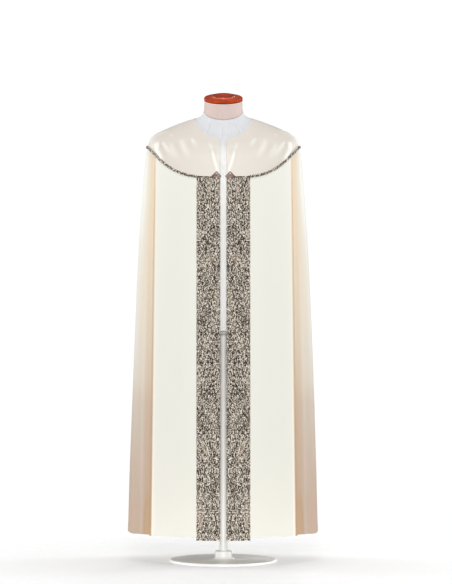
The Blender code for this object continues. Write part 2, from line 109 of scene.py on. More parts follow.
# Rings of the garment and the form. Front and back are a ring's reach from its middle, a place along Y.
# Between its heights at the side, front and back it bows as (1 - sin(bearing) ** power) ** root.
Ring = namedtuple("Ring", "level half_width middle front back z_side z_front z_back power root")
YOKE_RINGS = (
    Ring(-1.00, 0.099, 0.0, 0.085, 0.075, 1.5030, 1.4320, 1.5130, 2.3, 0.65),
    Ring(-0.75, 0.149, 0.0, 0.107, 0.099, 1.4860, 1.4045, 1.4955, 2.6, 0.75),
    Ring(-0.50, 0.200, 0.0, 0.127, 0.119, 1.4645, 1.3715, 1.4600, 3.0, 0.90),
    Ring(-0.25, 0.240, 0.0, 0.141, 0.133, 1.4420, 1.3360, 1.4040, 3.4, 1.10),
    Ring(0.00, 0.256, 0.0, 0.150, 0.142, 1.4065, 1.2985, 1.3350, 3.7, 1.25),
)
Drape = namedtuple("Drape", "level half_width front back")
DRAPE_RINGS = (
    Drape(0.00, 0.256, 0.1500, 0.1420),
    Drape(0.03, 0.2635, 0.1520, 0.1475),
    Drape(0.10, 0.2710, 0.1550, 0.1590),
    Drape(0.25, 0.285, 0.163, 0.180),
    Drape(0.50, 0.300, 0.176, 0.205),
    Drape(0.75, 0.311, 0.188, 0.225),
    Drape(1.00, 0.317, 0.200, 0.240),
)
# The side fold's depth under the yoke and at the hem, the level by which it has formed, and how far past
# its crest it is deepest, as a share of the way to the side seam.
SIDE_FOLD_TOP, SIDE_FOLD_HEM, SIDE_FOLD_START, SIDE_FOLD_FLOOR = 0.010, 0.028, 0.03, 0.17
# Folds round the back. Bearings and spreads are in degrees from the centre front, towards the wearer's left.
Fold = namedtuple("Fold", "bearing spread depth start")
BACK_FOLDS = (
    Fold(106, 13, 0.016, 0.04),
    Fold(120, 9, -0.015, 0.16),
    Fold(134, 12, 0.021, 0.02),
    Fold(148, 9, -0.017, 0.10),
    Fold(160, 10, 0.017, 0.22),
    Fold(171, 8, -0.013, 0.34),
    Fold(184, 12, 0.018, 0.06),
    Fold(197, 9, -0.016, 0.14),
    Fold(211, 13, 0.022, 0.03),
    Fold(224, 8, -0.015, 0.28),
    Fold(236, 10, 0.016, 0.12),
    Fold(247, 7, -0.012, 0.20),
    Fold(258, 11, 0.015, 0.05),
)
BACK_FOLD_END = 1.25  # the level, past the hem, at which a fold would reach its depth
NECK_RINGS = (
    Ring(0, 0.0645, -0.012, 0.0620, 0.0620, 1.5650, 1.5472, 1.5828, 2.0, 0.50),
    Ring(0, 0.0650, -0.011, 0.0635, 0.0625, 1.5450, 1.5220, 1.5660, 2.0, 0.50),
    Ring(0, 0.0668, -0.009, 0.0660, 0.0640, 1.5290, 1.4960, 1.5510, 2.1, 0.55),
    Ring(0, 0.0720, -0.006, 0.0690, 0.0650, 1.5170, 1.4680, 1.5350, 2.3, 0.65),
    Ring(0, 0.0840, -0.003, 0.0735, 0.0670, 1.5090, 1.4470, 1.5195, 2.4, 0.70),
)
BODY_RINGS = (
    Ring(0, 0.2300, 0.0, 0.1270, 0.1200, 1.4400, 1.3300, 1.4050, 3.0, 0.92),
    Ring(0, 0.2320, 0.0, 0.1300, 0.1240, 1.4180, 1.3050, 1.3750, 3.0, 0.94),
    Ring(0, 0.2240, 0.0, 0.1330, 0.1280, 1.3830, 1.2750, 1.3350, 3.0, 0.96),
    Ring(0, 0.2050, 0.0, 0.1340, 0.1300, 1.3240, 1.2400, 1.2900, 3.0, 1.00),
    Ring(0, 0.1890, 0.0, 0.1320, 0.1270, 1.2600, 1.2000, 1.2350, 3.0, 1.00),
    Ring(0, 0.1730, 0.0, 0.1240, 0.1160, 1.1600, 1.1300, 1.1450, 3.0, 1.00),
    Ring(0, 0.1650, 0.0, 0.1180, 0.1080, 1.0700, 1.0600, 1.0650, 3.0, 1.00),
    Ring(0, 0.1680, 0.0, 0.1200, 0.1150, 0.9850, 0.9850, 0.9850, 3.0, 1.00),
    Ring(0, 0.1780, 0.0, 0.1260, 0.1310, 0.9000, 0.9000, 0.9000, 3.0, 1.00),
    Ring(0, 0.1800, 0.0, 0.1250, 0.1340, 0.8400, 0.8400, 0.8400, 3.0, 1.00),
    Ring(0, 0.1730, 0.0, 0.1180, 0.1270, 0.7850, 0.7850, 0.7850, 3.0, 1.00),
)
FORM_BOTTOM = BODY_RINGS[-1].z_side
SHOULDER_LEVELS = (-1, -0.87, -0.74, -0.61, -0.48, -0.35)
SIDE_SEAM_LEFT, CENTRE_BACK, SIDE_SEAM_RIGHT, LAST_STATION = 3, 4, 5, 8
SEAM_STATIONS = (SIDE_SEAM_LEFT, CENTRE_BACK, SIDE_SEAM_RIGHT)

# Soft creases. Each runs from a head to a foot, which are a station and a level, and stands out by its height
# (or sinks, where negative). It fades in over the first share of its length and out over the last.
Crease = namedtuple("Crease", "head_station head_level foot_station foot_level width height fade_in fade_out")
YOKE_CREASES = (
    Crease(2.25, -0.27, 1.83, 0.00, 0.0072, 0.0044, 0.25, 0.10),
    Crease(2.16, -0.30, 1.70, -0.12, 0.0055, -0.0016, 0.30, 0.40),
    Crease(2.08, -0.35, 1.58, -0.24, 0.0060, 0.0023, 0.25, 0.65),
    Crease(1.95, -0.45, 1.50, -0.23, 0.0070, 0.0014, 0.25, 0.60),
    Crease(1.93, -0.54, 1.42, -0.30, 0.0060, -0.0012, 0.30, 0.50),
    Crease(1.90, -0.66, 1.22, -0.34, 0.0085, 0.0020, 0.25, 0.60),
    Crease(1.76, -0.71, 1.34, -0.54, 0.0050, -0.0010, 0.30, 0.50),
    Crease(1.70, -0.77, 1.28, -0.65, 0.0058, 0.0024, 0.25, 0.65),
    Crease(1.05, -0.89, 0.38, -0.59, 0.0055, 0.0018, 0.45, 0.40),
    Crease(0.44, -0.76, 0.22, -0.46, 0.0042, -0.0014, 0.30, 0.40),
    Crease(0.52, -0.69, 0.08, -0.11, 0.0062, 0.0036, 0.25, 0.20),
    Crease(2.30, -0.56, 1.95, -0.53, 0.0060, 0.0009, 0.40, 0.50),
    Crease(2.55, -0.62, 2.75, -0.06, 0.0100, 0.0018, 0.40, 0.30),
)
YOKE_BACK_CREASES = (
    Crease(3.10, -0.70, 3.22, -0.04, 0.0100, 0.0020, 0.40, 0.30),
    Crease(3.42, -0.86, 3.30, -0.20, 0.0090, 0.0015, 0.40, 0.40),
    Crease(3.62, -0.96, 3.55, -0.30, 0.0110, 0.0018, 0.35, 0.40),
    Crease(3.93, -0.80, 3.86, -0.02, 0.0090, 0.0013, 0.40, 0.30),
    Crease(4.30, -0.92, 4.42, -0.24, 0.0110, 0.0017, 0.40, 0.40),
    Crease(4.66, -0.74, 4.58, -0.06, 0.0100, 0.0016, 0.40, 0.35),
    Crease(4.86, -0.60, 4.83, -0.10, 0.0080, 0.0014, 0.40, 0.40),
)
BRIGHTEST_CREASE = 0.0036
FRONT_CREASES = (
    Crease(1.35, 0.04, 1.26, 0.96, 0.0280, 0.0010, 0.30, 0.25),
    Crease(1.70, 0.22, 1.66, 1.00, 0.0240, -0.0011, 0.40, 0.00),
    Crease(2.30, 0.10, 2.40, 1.00, 0.0070, 0.0020, 0.30, 0.00),
    Crease(2.52, 0.30, 2.50, 1.00, 0.0080, -0.0022, 0.40, 0.00),
    Crease(2.75, 0.05, 2.72, 1.00, 0.0110, 0.0026, 0.25, 0.00),
    Crease(2.90, 0.42, 2.93, 1.00, 0.0070, -0.0014, 0.40, 0.00),
)
BACK_CREASES = (
    Crease(3.12, 0.06, 3.10, 0.72, 0.0100, 0.0022, 0.25, 0.50),
    Crease(3.30, 0.03, 3.26, 0.40, 0.0090, 0.0024, 0.20, 0.60),
    Crease(3.52, 0.30, 3.55, 1.00, 0.0090, -0.0020, 0.40, 0.00),
    Crease(3.70, 0.02, 3.74, 0.55, 0.0110, 0.0026, 0.20, 0.60),
    Crease(3.93, 0.36, 3.90, 1.00, 0.0080, 0.0020, 0.40, 0.00),
    Crease(4.12, 0.02, 4.16, 0.46, 0.0100, -0.0020, 0.20, 0.60),
    Crease(4.36, 0.10, 4.40, 0.80, 0.0120, 0.0024, 0.30, 0.40),
    Crease(4.58, 0.44, 4.55, 1.00, 0.0080, 0.0018, 0.40, 0.00),
    Crease(4.72, 0.03, 4.78, 0.50, 0.0100, 0.0022, 0.20, 0.60),
    Crease(4.92, 0.20, 4.90, 0.90, 0.0080, -0.0018, 0.30, 0.30),
)

# Sewing
HEM_ALLOWANCE, HEM_STEP, HEM_RISE = 0.030, 0.0016, 0.0005
SEAM_DIP, YOKE_SEAM_DIP, SEAM_DIP_WIDTH = 0.0012, 0.0002, 0.0030
STITCH_LENGTH, STITCH_GAP, STITCH_RADIUS = 0.0030, 0.0014, 0.00028
BAND_STITCH_INSET, YOKE_STITCH_INSET = 0.0026, 0.0045
STITCH_RINGS, STITCH_SIDES, STITCH_END = (0.0, 0.22, 0.5, 0.78, 1.0), 6, 0.05
CORD_RADIUS, CORD_OUT, CORD_RAISED = 0.0020, 0.0012, 0.0004
CORD_STATIONS, CORD_SWELL, CORD_WAVE = (0.015, 0.985, 60), 0.14, 1.9
BRAID_WIDTH, BRAID_DEPTH, BRAID_TWIST = 0.0098, 0.0050, 0.0135
BRAID_LEVELS, LOOK_AHEAD = (-0.004, 0.0, 0.004), 0.001
YARN_RADIUS, YARN_STEP, YARN_SIDES, SAMPLES_PER_STATION = BRAID_WIDTH * 0.285, 0.0011, 10, 160

# The form's cover. Its upright seams and what lies beside them are bearings in degrees; what lies beside
# the neck seam is in rows.
FORM_SEAM_BEARINGS = (0, 40, 90, 132, 180, 228, 270, 320)
FORM_STEP, CLEAR_OF_SEAM = 3.0, 1.2
BESIDE_UPRIGHT_SEAM = (-0.9, -0.5, -0.25, 0, 0.25, 0.5, 0.9)
BESIDE_NECK_SEAM = (-0.6, -0.3, -0.12, 0, 0.12, 0.3, 0.6)
FORM_SEAM_DEPTH, FORM_SEAM_WIDTH, FORM_MEAN_RADIUS = 0.0010, 0.0016, 0.12
NECK_SEAM_RING, ROWS_BETWEEN = 2, 4
# The last two say where the cotton turns greyer upwards, painted light against the shade in the slit below
NECK_PIPING, NECK_EDGE, DIMMING_FOOT, DIMMING_FADE = 0.0011, 0.0005, 1.43, 0.05

# ---------------------------------------------------------------- curves and distances
def eased(rows, level):
    """The row at this level, on a smooth curve through the table's rows."""
    table, last = np.array(rows), len(rows) - 1
    levels = table[:, 0]
    upper = next((i for i in range(1, last) if level <= levels[i]), last)

    def slope(i):
        low, high = max(i - 1, 0), min(i + 1, last)
        return (table[high] - table[low]) / (levels[high] - levels[low])

    a, b, span = table[upper - 1], table[upper], levels[upper] - levels[upper - 1]
    part, slope_a, slope_b = (level - levels[upper - 1]) / span, slope(upper - 1) * span, slope(upper) * span
    cubic = 2 * a - 2 * b + slope_a + slope_b
    square = -3 * a + 3 * b - 2 * slope_a - slope_b
    return type(rows[0])(*(a + part * (slope_a + part * (square + part * cubic))))


def climb(values, start, end):
    """0 as far as the start, 1 from the end on, and an eased climb between them. The end may be the lower."""
    part = np.clip((values - start) / (end - start), 0.0, 1.0)
    return part * part * (3 - 2 * part)


def bell(distance, width):
    """1 at no distance, and next to nothing past two widths."""
    return np.exp(-((distance / width) ** 2))


def read_off(stops, places):
    """Values on the straight lines through stops of (place, value)."""
    stop_places, values = zip(*stops)
    return np.interp(places, stop_places, values)


def spread(*stops):
    """Values through stops of (value, steps to the next value)."""
    values = []
    for (start, steps), (end, _) in zip(stops, stops[1:]):
        values += [start + (end - start) * i / steps for i in range(steps)]
    return np.array(values + [stops[-1][0]])


def unit(vectors):
    return vectors / np.linalg.norm(vectors, axis=-1, keepdims=True)


def lengths_along(grid, axis):
    """Distance along each row (axis 1) or column (axis 0) of a grid, or along a path (axis 0)."""
    steps = np.linalg.norm(np.diff(grid, axis=axis), axis=-1)
    return np.insert(np.cumsum(steps, axis=axis), 0, 0, axis=axis)


def at_distances(values, reach, distances):
    """A path's values at distances along it. Reach holds the distance of each of its points."""
    return np.stack([np.interp(distances, reach, column) for column in values.T], axis=-1)


# ---------------------------------------------------------------- the cloth's surface
def ring_heights(ring, bearings):
    end = np.where(np.cos(bearings) > 0, ring.z_front, ring.z_back)
    bow = np.maximum(0.0, 1 - np.abs(np.sin(bearings)) ** ring.power) ** ring.root
    return ring.z_side + (end - ring.z_side) * bow


def ring_points(ring, bearings):
    """Points of a ring at bearings from the centre front, and the outward directions there in plan."""
    depth = np.where(np.cos(bearings) > 0, ring.front, ring.back)
    across, along = np.sin(bearings), -np.cos(bearings)
    places = (ring.half_width * across, ring.middle + depth * along, ring_heights(ring, bearings))
    outward = np.stack((across / ring.half_width, along / depth, np.zeros_like(across)), axis=-1)
    return np.stack(places, axis=-1), unit(outward)


def bearings_of(stations, ring, crest):
    """Bearings of stations on a ring. The front stations keep their distances from the centre line."""
    near = np.minimum(stations, LAST_STATION - stations)
    crest_bearing = math.asin(crest / ring.half_width)
    yoke_share = min(1.0, ring.half_width / YOKE_RINGS[-1].half_width)
    band_edge = FRONT_GAP + (BAND_EDGE - FRONT_GAP) * yoke_share
    across = np.interp(near, (0, 1, 2), (FRONT_GAP, band_edge, crest))
    fronts = np.arcsin(across / ring.half_width)
    sides = crest_bearing + (math.pi / 2 - crest_bearing) * (near - 2)
    backs = math.pi / 2 * (1 + near - SIDE_SEAM_LEFT)
    bearings = np.where(near <= 2, fronts, np.where(near < SIDE_SEAM_LEFT, sides, backs))
    return np.where(stations > CENTRE_BACK, math.tau - bearings, bearings)


def side_fold_depths(stations, level):
    """How far the cloth sinks in at the side fold: steeply behind the crest, then slowly outward."""
    along = np.clip(np.minimum(stations, LAST_STATION - stations) - 2, 0.0, 1.0)
    hollow = climb(along, 0, SIDE_FOLD_FLOOR) * climb(along, 1, SIDE_FOLD_FLOOR)
    start = SIDE_FOLD_TOP * (1 - math.exp(-level / SIDE_FOLD_START))
    return hollow * (start + (SIDE_FOLD_HEM - SIDE_FOLD_TOP) * level)


def back_fold_heights(bearings, level):
    heights = np.zeros_like(bearings)
    for fold in BACK_FOLDS:
        off = np.clip((np.degrees(bearings) - fold.bearing) / fold.spread, -1, 1)
        heights += fold.depth * climb(level, fold.start, BACK_FOLD_END) * np.cos(off * math.pi / 2) ** 2
    return heights


def cloth_row(stations, level):
    """Points of the cloth's inner face along one level."""
    edge = YOKE_RINGS[-1]
    if level <= 0:
        ring = eased(YOKE_RINGS, level)
        crest = FRONT_GAP + (CREST_TOP - FRONT_GAP) * ring.half_width / edge.half_width
        return ring_points(ring, bearings_of(stations, ring, crest))[0]
    drape = eased(DRAPE_RINGS, level)
    ring = edge._replace(half_width=drape.half_width, front=drape.front, back=drape.back)
    bearings = bearings_of(stations, ring, CREST_TOP + (CREST_HEM - CREST_TOP) * level)
    points, outward = ring_points(ring, bearings)
    start_heights = ring_heights(edge, bearings_of(stations, edge, CREST_TOP))
    points[:, 2] = start_heights + (HEM_HEIGHT - start_heights) * level
    stand_out = back_fold_heights(bearings, level) - side_fold_depths(stations, level)
    return points + outward * stand_out[:, None]


def cloth_grid(stations, levels):
    """The inner face as an array of rows that run round, from the top down."""
    return np.stack([cloth_row(stations, level) for level in levels])


def normals_of(grid):
    """Outward directions of a grid whose rows run down and whose columns run round from the front."""
    return unit(np.cross(np.gradient(grid, axis=0), np.gradient(grid, axis=1)))


def lifted(grid, out):
    """The grid moved outwards, by one distance or by one for each point."""
    return grid + normals_of(grid) * np.asarray(out)[..., None]


def surface_at(station, level):
    """One point of the inner face and the outward direction there, which at the yoke's edge is the yoke's."""
    step = 0.002
    stations = np.clip(np.array([station - step, station, station + step]), 0, LAST_STATION)
    rows = cloth_grid(stations, (level - step, level, level + step if level else level))
    normal = np.cross(rows[2, 1] - rows[0, 1], rows[1, 2] - rows[1, 0])
    return Vector(rows[1, 1]), Vector(normal).normalized()


def crease_heights(creases, stations, levels, grid):
    """How far the creases stand out over a grid of stations and levels."""
    metres_across = np.gradient(lengths_along(grid, 1), stations, axis=1)
    metres_down = np.gradient(lengths_along(grid, 0), levels, axis=0)
    station, level = np.meshgrid(stations, levels)
    heights = np.zeros(grid.shape[:2])
    for crease in creases:
        run_across = (crease.foot_station - crease.head_station) * metres_across
        run_down = (crease.foot_level - crease.head_level) * metres_down
        from_head_across = (station - crease.head_station) * metres_across
        from_head_down = (level - crease.head_level) * metres_down
        run = np.hypot(run_across, run_down)
        part = (from_head_across * run_across + from_head_down * run_down) / run ** 2
        aside = (from_head_across * run_down - from_head_down * run_across) / run
        fade = np.where((part >= 0) & (part <= 1), 1.0, 0.0)
        if crease.fade_in:
            fade *= climb(part, 0, crease.fade_in)
        if crease.fade_out:
            fade *= climb(part, 1, 1 - crease.fade_out)
        heights += crease.height * fade * bell(aside, crease.width)
    return heights


def mirrored_creases(creases):
    """The same creases on the wearer's other side."""
    return [
        crease._replace(
            head_station=LAST_STATION - crease.head_station, foot_station=LAST_STATION - crease.foot_station
        )
        for crease in creases
    ]


# ---------------------------------------------------------------- nodes as expressions
MIX_FACTOR, MIX_A, MIX_B, MIX_RESULT = 0, 6, 7, 2


class Wire:
    """A value or a colour on its way through a tree of nodes. Arithmetic on a value adds Math nodes."""

    def __init__(self, nodes, socket):
        self.nodes = nodes
        self.socket = socket

    def maths(self, operation, *values):
        return self.nodes.node("Math", {"operation": operation}, dict(enumerate(values)))

    def __add__(self, other):
        return self.maths("ADD", self, other)

    __radd__ = __add__

    def __sub__(self, other):
        return self.maths("SUBTRACT", self, other)

    def __rsub__(self, other):
        return self.maths("SUBTRACT", other, self)

    def __mul__(self, other):
        return self.maths("MULTIPLY", self, other)

    __rmul__ = __mul__

    def __gt__(self, other):
        return self.maths("GREATER_THAN", self, other)

    def __lt__(self, other):
        return self.maths("LESS_THAN", self, other)

    def __abs__(self):
        return self.maths("ABSOLUTE", self)

    def sine(self):
        return self.maths("SINE", self)

    def smooth(self, low, high):
        """0 below low, 1 above high and an eased climb between them."""
        settings = {"interpolation_type": "SMOOTHSTEP"}
        return self.nodes.node("MapRange", settings, {"Value": self, "From Min": low, "From Max": high})


class Nodes:
    """Adds nodes to one tree. Colours are three numbers."""

    def __init__(self, tree):
        self.tree = tree

    def node(self, kind, settings=None, inputs=None, output=0):
        """Adds a node: its settings first, then the values or links of its sockets."""
        made = self.tree.nodes.new("ShaderNode" + kind)
        for name, value in (settings or {}).items():
            if name == "stops":
                self.set_stops(made.color_ramp, value)
            else:
                setattr(made, name, value)
        for key, value in (inputs or {}).items():
            self.feed(made.inputs[key], value)
        return Wire(self, made.outputs[output])

    def feed(self, socket, value):
        if isinstance(value, Wire):
            self.tree.links.new(value.socket, socket)
        else:
            socket.default_value = (*value, 1) if socket.type == "RGBA" else value

    def set_stops(self, ramp, stops):
        """Stops are pairs of a place from 0 to 1 and a colour."""
        while len(ramp.elements) < len(stops):
            ramp.elements.new(0.5)
        for element, (place, color) in zip(ramp.elements, stops):
            element.position = place
            element.color = (*color, 1)


class Paint(Nodes):
    """One material under construction. Values that don't vary are set straight on its shader."""

    def __init__(self, name, **fixed):
        self.material = bpy.data.materials.new(name)
        self.material.use_nodes = True
        super().__init__(self.material.node_tree)
        self.finish(**fixed)

    def finish(self, **values):
        """Sets or links sockets of the shader, and returns the material."""
        shader = self.tree.nodes["Principled BSDF"]
        for name, value in values.items():
            self.feed(shader.inputs[name.replace("_", " ")], value)
        return self.material

    def attribute(self, name):
        return self.node("Attribute", {"attribute_name": name}, output="Fac")

    def cloth_place(self):
        """The place on the flat cloth, in metres: across and down."""
        return self.node("TexCoord", output="UV")

    def solid_place(self):
        return self.node("TexCoord", output="Object")

    def stretched(self, place, scale):
        return self.node("Mapping", {}, {"Vector": place, "Scale": scale})

    def split(self, place):
        """The separate values of a vector."""
        outputs = self.node("SeparateXYZ", {}, {"Vector": place}).socket.node.outputs
        return [Wire(self, output) for output in outputs]

    def mix(self, factor, color, other):
        """Between two colours, each a wire or three numbers."""
        inputs = {MIX_FACTOR: factor, MIX_A: color, MIX_B: other}
        return self.node("Mix", {"data_type": "RGBA"}, inputs, MIX_RESULT)

    def noise(self, place, scale, detail=2.0, roughness=0.5, distortion=0.0):
        """Clouds of values about 0.5. A scale of three numbers draws them out along some directions."""
        if isinstance(scale, tuple):
            place, scale = self.stretched(place, scale), 1.0
        inputs = {"Vector": place, "Scale": scale, "Detail": detail, "Roughness": roughness}
        return self.node("TexNoise", {}, {**inputs, "Distortion": distortion})

    def dots(self, place, scale, share, radius, dimensions="2D"):
        """Soft round spots, one in each of a share of the cells. The radius is a share of a cell."""
        inputs = {"Vector": place, "Scale": scale}
        distance = self.node("TexVoronoi", {"voronoi_dimensions": dimensions}, inputs)
        chance, _, _ = self.split(Wire(self, distance.socket.node.outputs["Color"]))
        return (chance < share) * (1 - distance.smooth(radius * 0.55, radius))

    def bump(self, height, depth, strength=1.0, under=None):
        """A normal from a height that runs from 0 to 1 over the depth, laid over the one under it."""
        inputs = {"Height": height, "Distance": depth, "Strength": strength}
        if under:
            inputs["Normal"] = under
        return self.node("Bump", {}, inputs)


# ---------------------------------------------------------------- colours
# A pair of colours holds the two that a finish drifts between.
# The second and third colours are painted light: the lit outer side of the fold and a highlight along its
# crest
IVORY, LIT_SIDE_IVORY, CREST_HIGHLIGHT_CREAM = (0.885, 0.880, 0.800), (0.955, 0.950, 0.890), (0.97, 0.89, 0.77)
# Painted shade: warm shade in the side fold, and its deepest shade and shadow lines
WARM_SHADE_PEACH, DEEP_SHADE_TAN = (0.835, 0.675, 0.485), (0.485, 0.285, 0.125)
# Painted shade where the side fold turns away from the light, deeper towards the hem
SHADE_TAUPES = (0.500, 0.402, 0.308), (0.535, 0.392, 0.320)
# The yoke's second and third colours are a painted highlight on crease ridges and painted shade in the
# troughs
YOKE_IVORY, YOKE_HIGHLIGHT, YOKE_TROUGH_SHADE = (0.832, 0.772, 0.694), (0.99, 0.995, 0.92), (0.74, 0.69, 0.60)
FLECKS = (
    (0.00, (0.022, 0.013, 0.007)),
    (0.16, (0.068, 0.046, 0.029)),
    (0.34, (0.185, 0.141, 0.101)),
    (0.52, (0.305, 0.243, 0.182)),
    (0.70, (0.425, 0.345, 0.262)),
    (0.86, (0.660, 0.565, 0.450)),
    (1.00, (0.960, 0.900, 0.790)),
)
# The second colour is painted shade between the brocade's threads
WARM_FLECK, SHADE_BETWEEN_THREADS = (0.50, 0.37, 0.25), (0.09, 0.065, 0.045)
IVORY_THREAD = (0.70, 0.66, 0.56), (0.84, 0.81, 0.72)
TAUPE_THREAD = (0.25, 0.20, 0.16), (0.48, 0.41, 0.34)
DARK_BRONZE = (0.034, 0.022, 0.018), (0.062, 0.042, 0.034)
BRIGHT_BRONZE = (0.140, 0.102, 0.083), (0.235, 0.176, 0.148)
PEARL_LUSTRE = (0.97, 0.90, 0.83), (0.92, 0.91, 0.86)
ROSE_LINEN = (0.672, 0.530, 0.482), (0.730, 0.588, 0.540)
WHITE_COTTON = (0.91, 0.91, 0.895), (0.94, 0.94, 0.925)
# The second colour dims the cotton near the neck, where light falls fully; the whiter cotton below is painted
# light in the shaded slit
LINEN_THREADS, DIMMED_WHERE_LIT_WHITE, PIPING_RED = (0.83, 0.74, 0.69), (0.765, 0.775, 0.800), (0.33, 0.13, 0.125)
TAPE_PINK = (0.86, 0.78, 0.74)
RED_STAIN = (0.64, 0.086, 0.016), (0.41, 0.032, 0.008)
# The second is a painted highlight for the cove under the crown, the third painted shade for the cap's edges
OPEN_PORES, COVE_HIGHLIGHT, EDGE_SHADE = (0.14, 0.012, 0.006), (0.90, 0.36, 0.28), (0.115, 0.034, 0.022)
ENAMEL = (0.90, 0.89, 0.865), (0.93, 0.925, 0.90)
FLOOR_GREY, WHITE = (0.90, 0.90, 0.90), (1, 1, 1)

# Threads of the weaves, in metres apart: across, or across and down
CAPE_THREADS, LINEN_PITCH, FLOAT_PITCH, FLOAT_LENGTH = 0.00055, 0.0008, 0.00035, 0.0011
BROCADE_THREADS = (0.0007, 0.0011, 1.0)
BRAID_PLY = 0.0016


# ---------------------------------------------------------------- materials
def dimmed(color, share):
    return tuple(share * value for value in color)


def plain_weave(paint, pitch):
    """Height of a plain weave whose threads lie a pitch apart."""
    across, down, _ = paint.split(paint.cloth_place())
    warp, weft = ((way * (math.pi / pitch)).sine() for way in (across, down))
    over = warp * weft > 0.0
    return over * abs(warp) + (1 - over) * abs(weft)


def cope_cloth():
    """Smooth matt ivory cloth, with painted shade in the side fold and painted light on its outer side and
    along its crest.
    """
    paint = Paint("ivory_cope_cloth", Roughness=0.85, Sheen_Weight=0.02, Sheen_Roughness=0.5)
    place = paint.cloth_place()
    ivory = paint.mix(paint.noise(place, 9.0, 3.0), dimmed(IVORY, 0.985), IVORY)
    # Painted light on the fold's outer side
    light = paint.mix(paint.attribute("pale"), ivory, LIT_SIDE_IVORY)
    # Painted warm shade in the fold
    warm = paint.mix(paint.attribute("warmth"), light, WARM_SHADE_PEACH)
    rosy = paint.noise(place, (60, 7, 1), 3.0).smooth(0.35, 0.65)
    # Painted shade where the fold turns away, and on the front near the floor
    dusk = paint.mix(paint.attribute("dusk"), warm, paint.mix(rosy, *SHADE_TAUPES))
    # Painted shadow behind the crest, at the tuck and low on the side
    deep = paint.mix(paint.attribute("depth"), dusk, DEEP_SHADE_TAN)
    # Painted highlight along the fold's crest
    edge = paint.mix(paint.attribute("crest"), deep, CREST_HIGHLIGHT_CREAM)
    threads = plain_weave(paint, CAPE_THREADS) + paint.noise(place, (700, 60, 1)) * 0.6
    return paint.finish(Base_Color=edge, Normal=paint.bump(threads, 0.00007, 0.5))


def yoke_satin():
    """Satin: fine long floats and a soft sheen, with a painted highlight on its crease ridges and painted
    shade in the troughs.
    """
    paint = Paint("ivory_satin", Sheen_Weight=0.10, Sheen_Roughness=0.35, Specular_IOR_Level=0.55)
    place = paint.cloth_place()
    cloudy = paint.noise(place, 14.0, 3.0)
    ivory = paint.mix(cloudy, dimmed(YOKE_IVORY, 0.975), YOKE_IVORY)
    # Painted shade in the crease troughs, then a painted highlight on the ridges
    shaded = paint.mix(paint.attribute("hollow"), ivory, YOKE_TROUGH_SHADE)
    color = paint.mix(paint.attribute("glow"), shaded, YOKE_HIGHLIGHT)
    across, down, _ = paint.split(place)
    ribs = (across * (math.tau / FLOAT_PITCH)).sine()
    slant = (down * (math.tau / FLOAT_LENGTH) + across * 900).sine()
    normal = paint.bump(ribs * 0.5 + slant * 0.3, 0.00004, 0.4)
    return paint.finish(Base_Color=color, Roughness=0.36 + cloudy * 0.06, Normal=normal)


def fleck_pattern(paint, place, longer=(1, 1, 1), narrower=(1, 1, 1), finer=1.0, dimensions="2D"):
    """Worm-like flecks: a tone that runs from dark at 0 to light at 1, a relief, and large patches."""
    drawn, slim = paint.stretched(place, longer), paint.stretched(place, narrower)
    worm = paint.noise(drawn, 235.0 * finer, distortion=0.7)
    curl = paint.noise(slim, 290.0 * finer, 1.0, distortion=0.4)
    patch = paint.noise(drawn, 26.0 * finer)
    busy = paint.noise(place, 62.0 * finer, 1.0).smooth(0.36, 0.58)
    light_dots = paint.dots(slim, 155.0 * finer, 0.42, 0.34, dimensions)
    dark_dots = paint.dots(paint.stretched(place, (1.25, 0.70, 1.0)), 145.0 * finer, 0.46, 0.42, dimensions)
    fine = paint.noise(place, 1100.0, 1.0) + paint.noise(place, (1900, 330, 1900), 1.0) * 1.6
    drawing = ((worm - 0.5) * 4.8 + (curl - 0.5) * 6.0) * (0.55 + busy * 0.55)
    tone = drawing + (patch - 0.5) * 0.80 + (fine - 1.3) * 0.30 + 0.42 - dark_dots * 0.74 + light_dots * 0.72
    return tone, worm + curl * 0.6 - dark_dots * 0.3, patch


def fleck_colors(paint, tone):
    return paint.node("ValToRGB", {"stops": FLECKS}, {"Fac": tone})


def flecked_brocade():
    """Brocade whose flecks keep to its threads, with painted shade between the threads."""
    paint = Paint("flecked_brocade", Sheen_Weight=0.03, Specular_IOR_Level=0.28)
    by_thread = paint.node("VectorMath", {"operation": "SNAP"}, {0: paint.cloth_place(), 1: BROCADE_THREADS})
    tone, relief, patch = fleck_pattern(paint, by_thread, (1.50, 0.36, 1.0), (1.30, 0.80, 1.0))
    warmer = paint.mix(patch.smooth(0.56, 0.72) * 0.32, fleck_colors(paint, tone * 1.28 - 0.195), WARM_FLECK)
    weave = plain_weave(paint, BROCADE_THREADS[0])
    # Painted shade between the threads
    color = paint.mix((1 - weave) * 0.36, warmer, SHADE_BETWEEN_THREADS)
    normal = paint.bump(weave, 0.00012, 0.5, under=paint.bump(relief, 0.0009, 0.6))
    return paint.finish(Base_Color=color, Roughness=0.66 - tone.smooth(0.2, 0.9) * 0.22, Normal=normal)


def flecked_braid():
    """Yarn in the colours of the bands, with the fine ply of a twisted cord."""
    paint = Paint("flecked_braid", Roughness=0.60, Sheen_Weight=0.05)
    tone, relief, _ = fleck_pattern(paint, paint.solid_place(), finer=1.1, dimensions="3D")
    color = fleck_colors(paint, tone - 0.06 - paint.attribute("dark_strand") * 0.32)
    along, around, _ = paint.split(paint.cloth_place())
    ply = (along * (math.tau / BRAID_PLY) + around * (math.tau * 4)).sine()
    normal = paint.bump(ply, 0.00015, 0.6, under=paint.bump(relief, 0.0005, 0.5))
    return paint.finish(Base_Color=color, Normal=normal)


